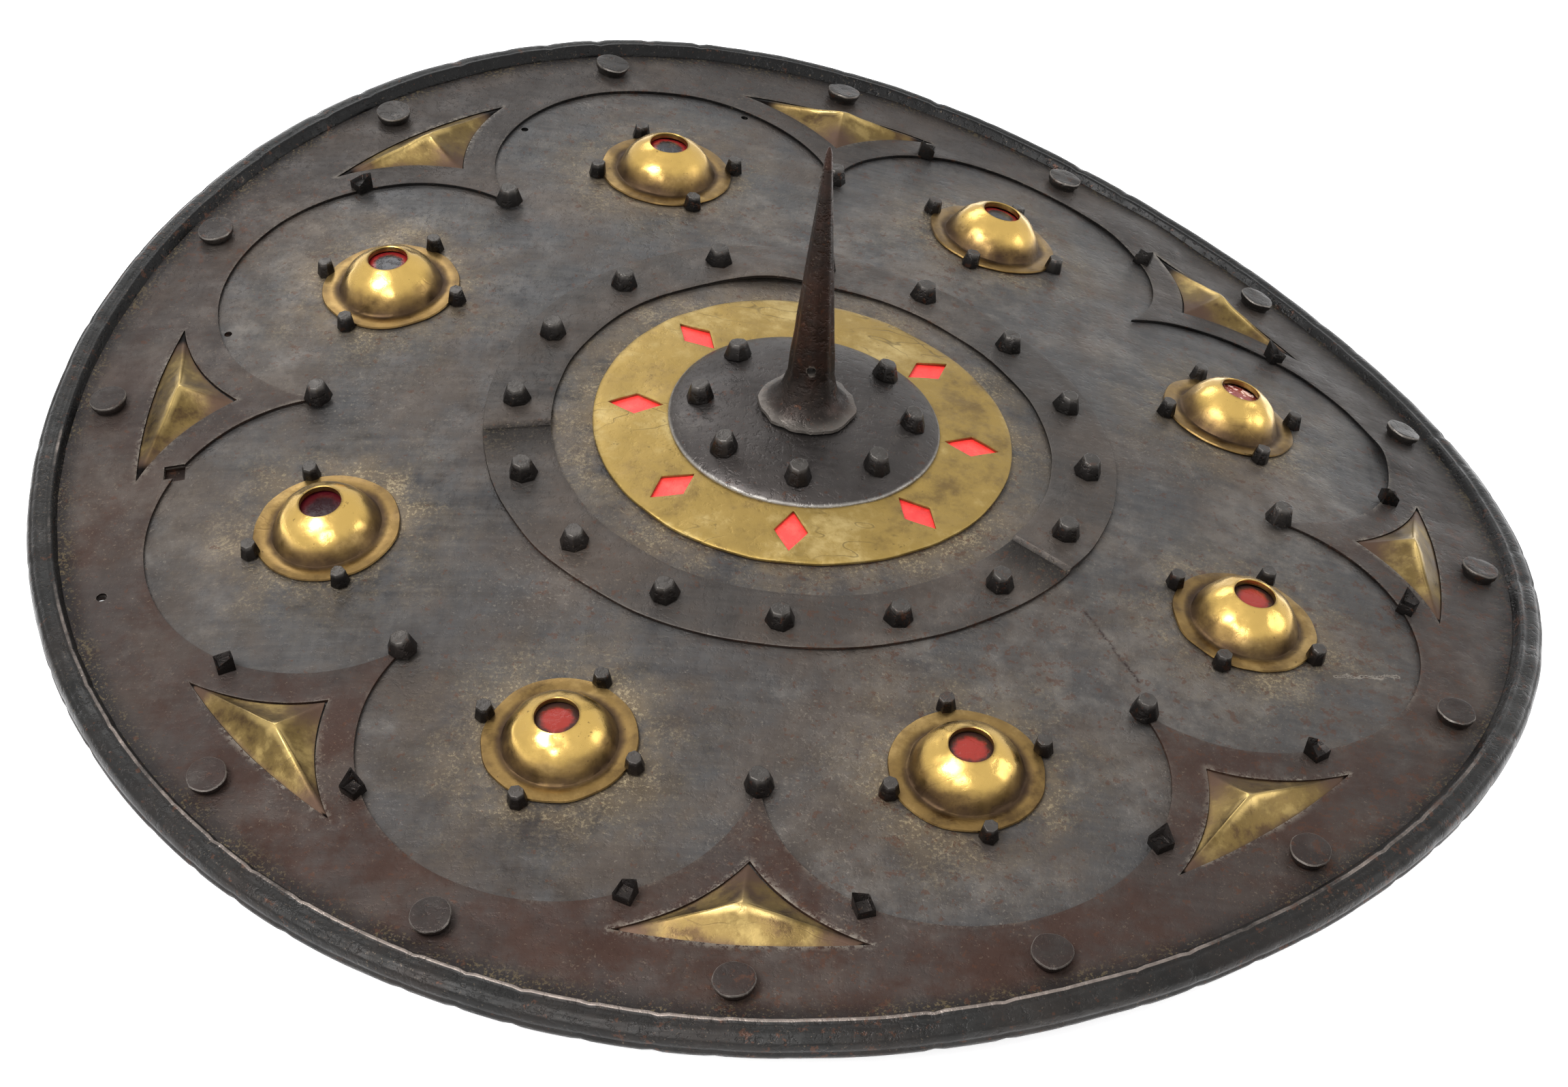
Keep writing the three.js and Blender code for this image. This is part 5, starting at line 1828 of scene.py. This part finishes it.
@dataclass
class Bosses:
    """The eight domed bosses with their pins and their glass."""

    flange: float = 25.0
    dome: float = 18.0
    height: float = 13.0
    hole: float = 7.1
    pin_radius: float = 3.5
    pin_height: float = 5.4
    steps: int = 72
    jewels: Sequence[Jewel] = (
        Jewel.WHOLE,
        Jewel.MAROON,
        Jewel.DARK,
        Jewel.DARK,
        Jewel.DARK,
        Jewel.BROKEN,
        Jewel.WHOLE,
        Jewel.WHOLE,
    )

    def profile(self) -> list[Point]:
        """Gives a boss's section, up over the dome and back underneath."""
        over = [(24.9, 0.1), (25.05, 0.5), (24.8, 1.0), (23.4, 1.15), (21.6, 1.15), (20.2, 0.95)]
        over += [(19.2, 0.8)]
        over += [(18.6, 0.95), (18.1, 1.7), (17.5, 3.0), (16.7, 4.7), (15.6, 6.6), (14.2, 8.4), (12.5, 10.0)]
        over += [(10.7, 11.3), (9.1, 12.1), (8.0, 12.7), (7.4, 12.95), (7.1, 12.7), (7.0, 12.0)]
        over += [(7.05, 10.9)]
        under = [(9.6, 10.2), (13.2, 7.7), (15.6, 4.6), (16.9, 1.6), (17.4, 0.1), (21.0, 0.1)]
        return over + under

    def build(self, palette: Palette) -> None:
        """Builds every boss with its glass, then dresses them."""
        for bay, jewel in enumerate(self.jewels):
            self.build_boss(bay, palette)
            self.build_jewel(bay, jewel, palette)

    def build_boss(self, bay: int, palette: Palette) -> None:
        """Builds one boss with its pins."""
        bm = spun(self.profile(), self.steps, closed=True)
        groove = attribute(bm, "groove")
        edge = attribute(bm, "edge")
        polish_and_highlight = attribute(bm, "polish_and_highlight")
        for vert in bm.verts:
            radius = math.hypot(vert.co.x, vert.co.y)
            low = math.exp(-(((radius - 18.7) / 2.6) ** 2))
            hole = math.exp(-max(0.0, radius - 7.6) / 0.8)
            outer = 0.42 * max(0.0, min(1.0, (radius - 19) / 4))
            vert[groove] = max(0.85 * low, 0.6 * hole, outer)
            vert[polish_and_highlight] = max(0.0, min(1.0, (17.5 - radius) / 4))
            vert[edge] = min(abs(radius - self.flange), abs(radius - self.hole))
            self.dent(vert, bay)
        seat(bm, PLAN.boss_circle, PLAN.boss_angle(bay), PLAN.on_plate)
        for pin in range(PLAN.pins):
            if (bay, pin) != PLAN.lost_pin:
                add_piece(bm, self.pin(bay, pin), 1)
        materials = palette.materials(Finish.BRIGHT_BRASS, Finish.DARK_IRON)
        finish_piece(f"domed_boss_{bay + 1}", bm, materials, f"boss_{bay + 1}")

    def dent(self, vert: bmesh.types.BMVert, bay: int) -> None:
        """Works the dents of the dome and the wavering flange into one point."""
        radius = math.hypot(vert.co.x, vert.co.y)
        angle = math.atan2(vert.co.y, vert.co.x)
        where = vert.co / 7.5 + Vector((bay * 3.7, bay * 1.3, 0))
        if radius > 20:
            around = Vector((2.6 * math.cos(angle), 2.6 * math.sin(angle), bay * 2.3))
            share = (radius - 20) / 5
            shrink = 1 - 0.024 * share * max(0.0, 0.25 + noise.noise(around))
            vert.co.x *= shrink
            vert.co.y *= shrink
            vert.co.z += 0.5 * share * max(0.0, noise.noise(around * 1.4))
        elif radius > 8.5:
            depth = 0.8 * max(0.0, noise.noise(where) - 0.1) + 0.25 * noise.noise(where * 2.2)
            vert.co -= Vector((vert.co.x / radius, vert.co.y / radius, 0.8)) * depth * 0.7

    def pin(self, bay: int, index: int) -> bmesh.types.BMesh:
        """Makes one pin in its place beside the flange."""
        bm = stud(self.pin_radius, self.pin_height, 0.72, 7, bay * 1.3 + index * 2.7)
        turn = index * math.pi / 2 + 0.09 * math.sin(7.0 * bay + 3.0 * index)
        at = (PLAN.pin_circle * math.cos(turn), PLAN.pin_circle * math.sin(turn), 0.1)
        bmesh.ops.translate(bm, vec=at, verts=bm.verts[:])
        seat(bm, PLAN.boss_circle, PLAN.boss_angle(bay), PLAN.on_plate)
        return bm

    def build_jewel(self, bay: int, jewel: Jewel, palette: Palette) -> None:
        """Builds one round glass in its boss."""
        profile = [(0.0, 9.0), (8.0, 9.0), (8.2, 9.7), (7.2, 10.2), (5.6, 10.55), (3.4, 10.75), (0.0, 10.8)]
        if jewel is Jewel.MAROON:
            profile = [(0.0, 9.2), (8.0, 9.2), (8.2, 9.8), (6.8, 10.0), (4.6, 9.7), (2.4, 9.5), (0.0, 9.45)]
        bm = spun(profile, 28)
        groove = attribute(bm, "groove")
        for vert in bm.verts:
            vert[groove] = math.hypot(vert.co.x, vert.co.y) / 7.2
        roughen(bm, 0.22 if jewel is Jewel.BROKEN else 0.1, 2.4, bay * 4.1)
        seat(bm, PLAN.boss_circle, PLAN.boss_angle(bay), PLAN.on_plate)
        glass = palette.materials(jewel.value)
        finish_piece(f"glass_jewel_{bay + 1}", bm, glass, f"jewel_{bay + 1}")


@dataclass
class BrassReliefs:
    """Thin brass pressed into a three-sided pyramid, seen through each opening of the border."""

    height: float = 6.9
    clearance: float = 0.35
    rings: int = 22
    side_steps: int = 30
    peak_share: float = 0.63
    shaded_corners: dict[int, tuple[float, float]] = field(default_factory=dict)

    def __post_init__(self) -> None:
        """Sets how far the painted shade reaches from the outer corners of some openings, in the gaps where
        the border has sprung up.
        """
        self.shaded_corners |= {2: (7.0, 7.0), 3: (7.0, 9.0), 4: (13.0, 8.0), 5: (15.0, 6.0)}

    def outline(self) -> list[Vector]:
        """Gives the relief's outline about a cusp line along +X, side by side from its inner corner."""
        outside = PLAN.web + self.clearance
        reach = PLAN.opening - self.clearance
        apex = PLAN.cusp_crossing(outside)
        corner = PLAN.opening_corner(outside, reach)
        side = []
        for index in range(self.side_steps + 1):
            side.append(PLAN.lobe_point(apex + (corner - apex) * index / self.side_steps, outside))
        side[0].y = 0.0
        turn = math.atan2(side[-1].y, side[-1].x)
        back = []
        for index in range(1, self.side_steps):
            angle = turn * (1 - 2 * index / self.side_steps)
            back.append(Vector((math.cos(angle), math.sin(angle), 0)) * reach)
        return side + back + [Vector((point.x, -point.y, 0)) for point in reversed(side[1:])]

    def build(self, palette: Palette) -> None:
        """Builds the eight reliefs, then dresses them."""
        for bay in range(PLAN.bays):
            bm = self.relief(bay)
            brass = palette.materials(Finish.RELIEF_BRASS)
            name = f"pressed_relief_{bay + 1}"
            finish_piece(name, bm, brass, f"brass_relief_{bay + 1}", smooth=70.0)

    def relief(self, bay: int) -> bmesh.types.BMesh:
        """Makes one relief: the outline drawn in ring by ring to the peak."""
        outline = self.outline()
        count = len(outline)
        inner = outline[0].x
        peak = Vector((inner + self.peak_share * (PLAN.opening - inner), 1.8 * math.sin(bay * 2.4), 0))

        def place(along: float, across: float) -> Vector:
            """Gives a point between the outline and the peak, raised as the pyramid rises."""
            spot = outline[round(along * count) % count].lerp(peak, across)
            spot.z = self.height * across**1.2
            return spot

        bm = bmesh.new()
        add_grid(bm, count, self.rings, place)
        bmesh.ops.remove_doubles(bm, verts=bm.verts[:], dist=0.01)
        inside = [vert for vert in bm.verts if not vert.is_boundary]
        axes = {"use_axis_x": True, "use_axis_y": True, "use_axis_z": True}
        for _ in range(2):
            bmesh.ops.smooth_vert(bm, verts=inside, factor=0.5, **axes)
        self.press(bm, outline, peak, bay)
        face_up(bm)
        bmesh.ops.solidify(bm, geom=bm.faces[:], thickness=-0.7)
        bottom = min(vert.co.z for vert in bm.verts)
        bmesh.ops.translate(bm, vec=(-peak.x, 0, -min(0.0, bottom)), verts=bm.verts[:])
        seat(bm, peak.x, PLAN.cusp_angle(bay), PLAN.on_plate)
        return bm

    def press(self, bm: bmesh.types.BMesh, outline: list[Vector], peak: Vector, bay: int) -> None:
        """Works the dents into the pyramid and marks the tarnish of its corners and edges, the painted shade
        in the gaps at some outer corners and the painted highlight along its ridges and on its peak.
        """
        groove = attribute(bm, "groove")
        edge = attribute(bm, "edge")
        polish_and_highlight = attribute(bm, "polish_and_highlight")
        gap = attribute(bm, "gap")
        corners = [outline[0], outline[self.side_steps], outline[2 * self.side_steps]]
        top = Vector((peak.x, peak.y, 0))
        for vert in bm.verts:
            spot = Vector((vert.co.x, vert.co.y, 0))
            nearest = min((spot - point).length for point in outline)
            dent = 0.6 * noise.noise(spot / 8 + Vector((bay * 2.9, 0, 0)))
            vert.co.z += dent * vert.co.z / self.height
            away = min((spot - corner).length for corner in corners)
            vert[groove] = max(1.45 * math.exp(-away / 13), 0.65 * math.exp(-nearest / 2.8))
            # painted shade in the gap under the sprung border
            reaches = self.shaded_corners.get(bay, (0.1, 0.1))
            dark = [(spot - corner).length / reach for corner, reach in zip(corners[1:], reaches)]
            vert[gap] = math.exp(-(min(dark) ** 2))
            # painted highlight along the ridges and on the peak
            ridges = [self.ridge_share(spot, top, corner) for corner in corners]
            near_peak = 0.9 * math.exp(-(((spot - top).length / 3.5) ** 2))
            vert[polish_and_highlight] = max(0.75 * ridges[0], *ridges[1:], near_peak)
            vert[edge] = FAR

    def ridge_share(self, spot: Vector, top: Vector, corner: Vector) -> float:
        """Gives how near a place is to the ridge from the peak towards a corner, fading along it."""
        run = corner - top
        share = max(0.0, min(1.0, (spot - top).dot(run) / run.length_squared))
        away = (spot - top - run * share).length
        return math.exp(-((away / 1.9) ** 2)) * max(0.0, 1 - share / 0.75)


@dataclass
class Fittings:
    """The studs on the border's cusps and the flat rivet heads near the rim."""

    cusp_radius: float = 5.2
    cusp_height: float = 6.3
    rivet_radius: float = 6.6
    rivet_height: float = 4.0

    def build(self, palette: Palette) -> None:
        """Builds and dresses each stud and rivet."""
        dark = palette.materials(Finish.DARK_IRON)
        for bay in range(PLAN.bays):
            if bay != PLAN.lost_cusp_stud:
                bm = stud(self.cusp_radius, self.cusp_height, 0.6, 8, bay * 2.2 + 0.4)
                seat(bm, PLAN.cusp_studs, PLAN.cusp_angle(bay), PLAN.on_border - 0.3)
                name = f"cusp_stud_head_{bay + 1}"
                finish_piece(name, bm, dark, f"cusp_stud_{bay + 1}")
        worn = palette.materials(Finish.RIVET_IRON)
        for index in range(2 * PLAN.bays):
            if index != PLAN.lost_rivet:
                bm = self.rivet(index)
                name = f"rivet_head_{index + 1}"
                finish_piece(name, bm, worn, f"rim_rivet_{index + 1}")

    def rivet(self, index: int) -> bmesh.types.BMesh:
        """Makes one flat rivet head: a little tilted, its top slightly hollow and its edge burred."""
        r, h = self.rivet_radius, self.rivet_height
        profile = [(0.0, h - 0.25), (r * 0.55, h - 0.15), (r * 0.86, h), (r * 0.96, h - 0.12), (r, h - 0.6)]
        profile += [(r * 0.95, 1.7), (r * 0.84, 0.9), (r * 0.82, 0.0), (0.0, 0.0)]
        bm = spun(profile, 26)
        edge = attribute(bm, "edge")
        for vert in bm.verts:
            brim = r * 0.93 < math.hypot(vert.co.x, vert.co.y) and vert.co.z > h - 0.7
            vert[edge] = 0.0 if brim else 3.0
            tilt = 0.05 * vert.co.z / h
            vert.co.z += tilt * (vert.co.x * math.cos(index * 2.0) + vert.co.y * math.sin(index * 2.0))
        roughen(bm, 0.35, 4.5, index * 1.9)
        seat(bm, PLAN.rivet_circle, PLAN.cusp_angle(index / 2), PLAN.on_border - 0.2)
        return bm


# Floor, light and camera


@dataclass(frozen=True)
class FloorFinish(Surface):
    """A plain pale floor with barely visible cloudiness; it glows, which brightens its shadows, and the glow
    fades out under the shield to paint the shade there.
    """

    name: str = "pale floor"
    light: Colour = rgb(248, 248, 249)
    dark: Colour = rgb(242, 242, 244)
    roughness: float = 0.75
    glow: float = 0.68
    shade_start: float = 0.19
    shade_end: float = 0.255

    def draw(self, sheet: NodeSheet, effects: Effects) -> dict[str, Value]:
        """Draws the finish and gives the inputs of its Principled shader."""
        tones = {"Dark": self.dark, "Middle": self.light, "Light": self.light, "Scale": 3.0}
        colour = sheet.effect(effects.tones, tones)
        where = sheet.add("ShaderNodeSeparateXYZ", {0: sheet.place()}).outputs
        reach = sheet.plus(sheet.maths("POWER", where["X"], 2.0), sheet.maths("POWER", where["Y"], 2.0))
        # painted shade: the floor's glow fades out under the shield
        unshaded_floor = sheet.span(sheet.maths("POWER", reach, 0.5), self.shade_start, self.shade_end)
        glow = sheet.mixed(unshaded_floor, (0.0, 0.0, 0.0, 1.0), (1.0, 1.0, 1.0, 1.0))
        look = {"Base Color": colour, "Roughness": self.roughness}
        return look | {"Emission Color": glow, "Emission Strength": self.glow}


@dataclass
class Studio:
    """The pale floor, soft lights and the camera at the photograph's angle."""

    lens: float = 77.7
    elevation: float = 0.685
    turn: float = 0.0178
    roll: float = 0.1497
    target: tuple[float, float, float] = (-4.039, -191.081, 155.822)
    distance: float = 950.332
    sky: float = 1.18

    def build(self, palette: Palette) -> None:
        """Sets up everything round the shield."""
        self.build_floor(palette)
        self.build_sky()
        self.light("key softbox", (-0.95, -0.65, 1.5), 0.8, 33.0)
        self.light("second softbox", (-0.3, -1.35, 1.15), 0.4, 8.0)
        self.light("back softbox", (-0.75, 1.5, 1.25), 0.8, 8.0)
        self.light("side softbox", (1.7, 0.1, 0.9), 0.8, 6.0)
        self.build_camera()

    def build_floor(self, palette: Palette) -> None:
        """Makes the floor."""
        bm = bmesh.new()
        bmesh.ops.create_grid(bm, x_segments=4, y_segments=4, size=6.0)
        mesh = bpy.data.meshes.new("floor")
        bm.to_mesh(mesh)
        bm.free()
        mesh.materials.append(FloorFinish().build(palette.effects))
        floor = bpy.data.objects.new("floor", mesh)
        bpy.context.scene.collection.objects.link(floor)

    def build_sky(self) -> None:
        """Makes the soft white surroundings."""
        world = bpy.data.worlds.new("studio")
        world.use_nodes = True
        surroundings = world.node_tree.nodes["Background"]
        surroundings.inputs["Color"].default_value = (1.0, 1.0, 1.0, 1.0)
        surroundings.inputs["Strength"].default_value = self.sky
        bpy.context.scene.world = world
        bpy.context.scene.view_settings.view_transform = "Standard"

    def light(self, name: str, place: Sequence[float], size: float, power: float) -> None:
        """Hangs one square softbox that faces the shield."""
        lamp = bpy.data.lights.new(name, "AREA")
        lamp.shape = "SQUARE"
        lamp.size = size
        lamp.energy = power
        box = bpy.data.objects.new(name, lamp)
        box.location = place
        box.rotation_euler = (Vector((0, 0, 0.04)) - Vector(place)).to_track_quat("-Z", "Y").to_euler()
        bpy.context.scene.collection.objects.link(box)

    def build_camera(self) -> None:
        """Sets the camera where it was for the photograph."""
        level = math.cos(self.elevation)
        back = Vector((-math.sin(self.turn) * level, -math.cos(self.turn) * level, math.sin(self.elevation)))
        right0 = Vector((math.cos(self.turn), -math.sin(self.turn), 0))
        up0 = back.cross(right0)
        right = right0 * math.cos(self.roll) + up0 * math.sin(self.roll)
        up = -right0 * math.sin(self.roll) + up0 * math.cos(self.roll)
        view = bpy.data.cameras.new("camera")
        view.lens = self.lens
        view.sensor_width = 36.0
        view.clip_start = 0.05
        camera = bpy.data.objects.new("camera", view)
        place = (Vector(self.target) + back * self.distance) * MM
        turned = Matrix((right, up, back)).transposed().to_4x4()
        camera.matrix_world = Matrix.Translation(place) @ turned
        bpy.context.scene.collection.objects.link(camera)
        bpy.context.scene.camera = camera


def main() -> None:
    """Builds the shield's pieces from the plate outwards, then the studio."""
    noise.seed_set(NOISE_SEED)
    logging.basicConfig(level=logging.INFO, format="%(message)s")
    palette = Palette()
    disc = DomedDisc()
    ShieldPlate().build(palette)
    ScallopedBorder().build(palette)
    RimBinding().build(palette)
    StuddedBand().build(palette)
    BrassRing().build(palette)
    disc.build(palette)
    Spike().build(palette, disc)
    Bosses().build(palette)
    BrassReliefs().build(palette)
    Fittings().build(palette)
    Studio().build(palette)


if __name__ == "__main__":
    main()
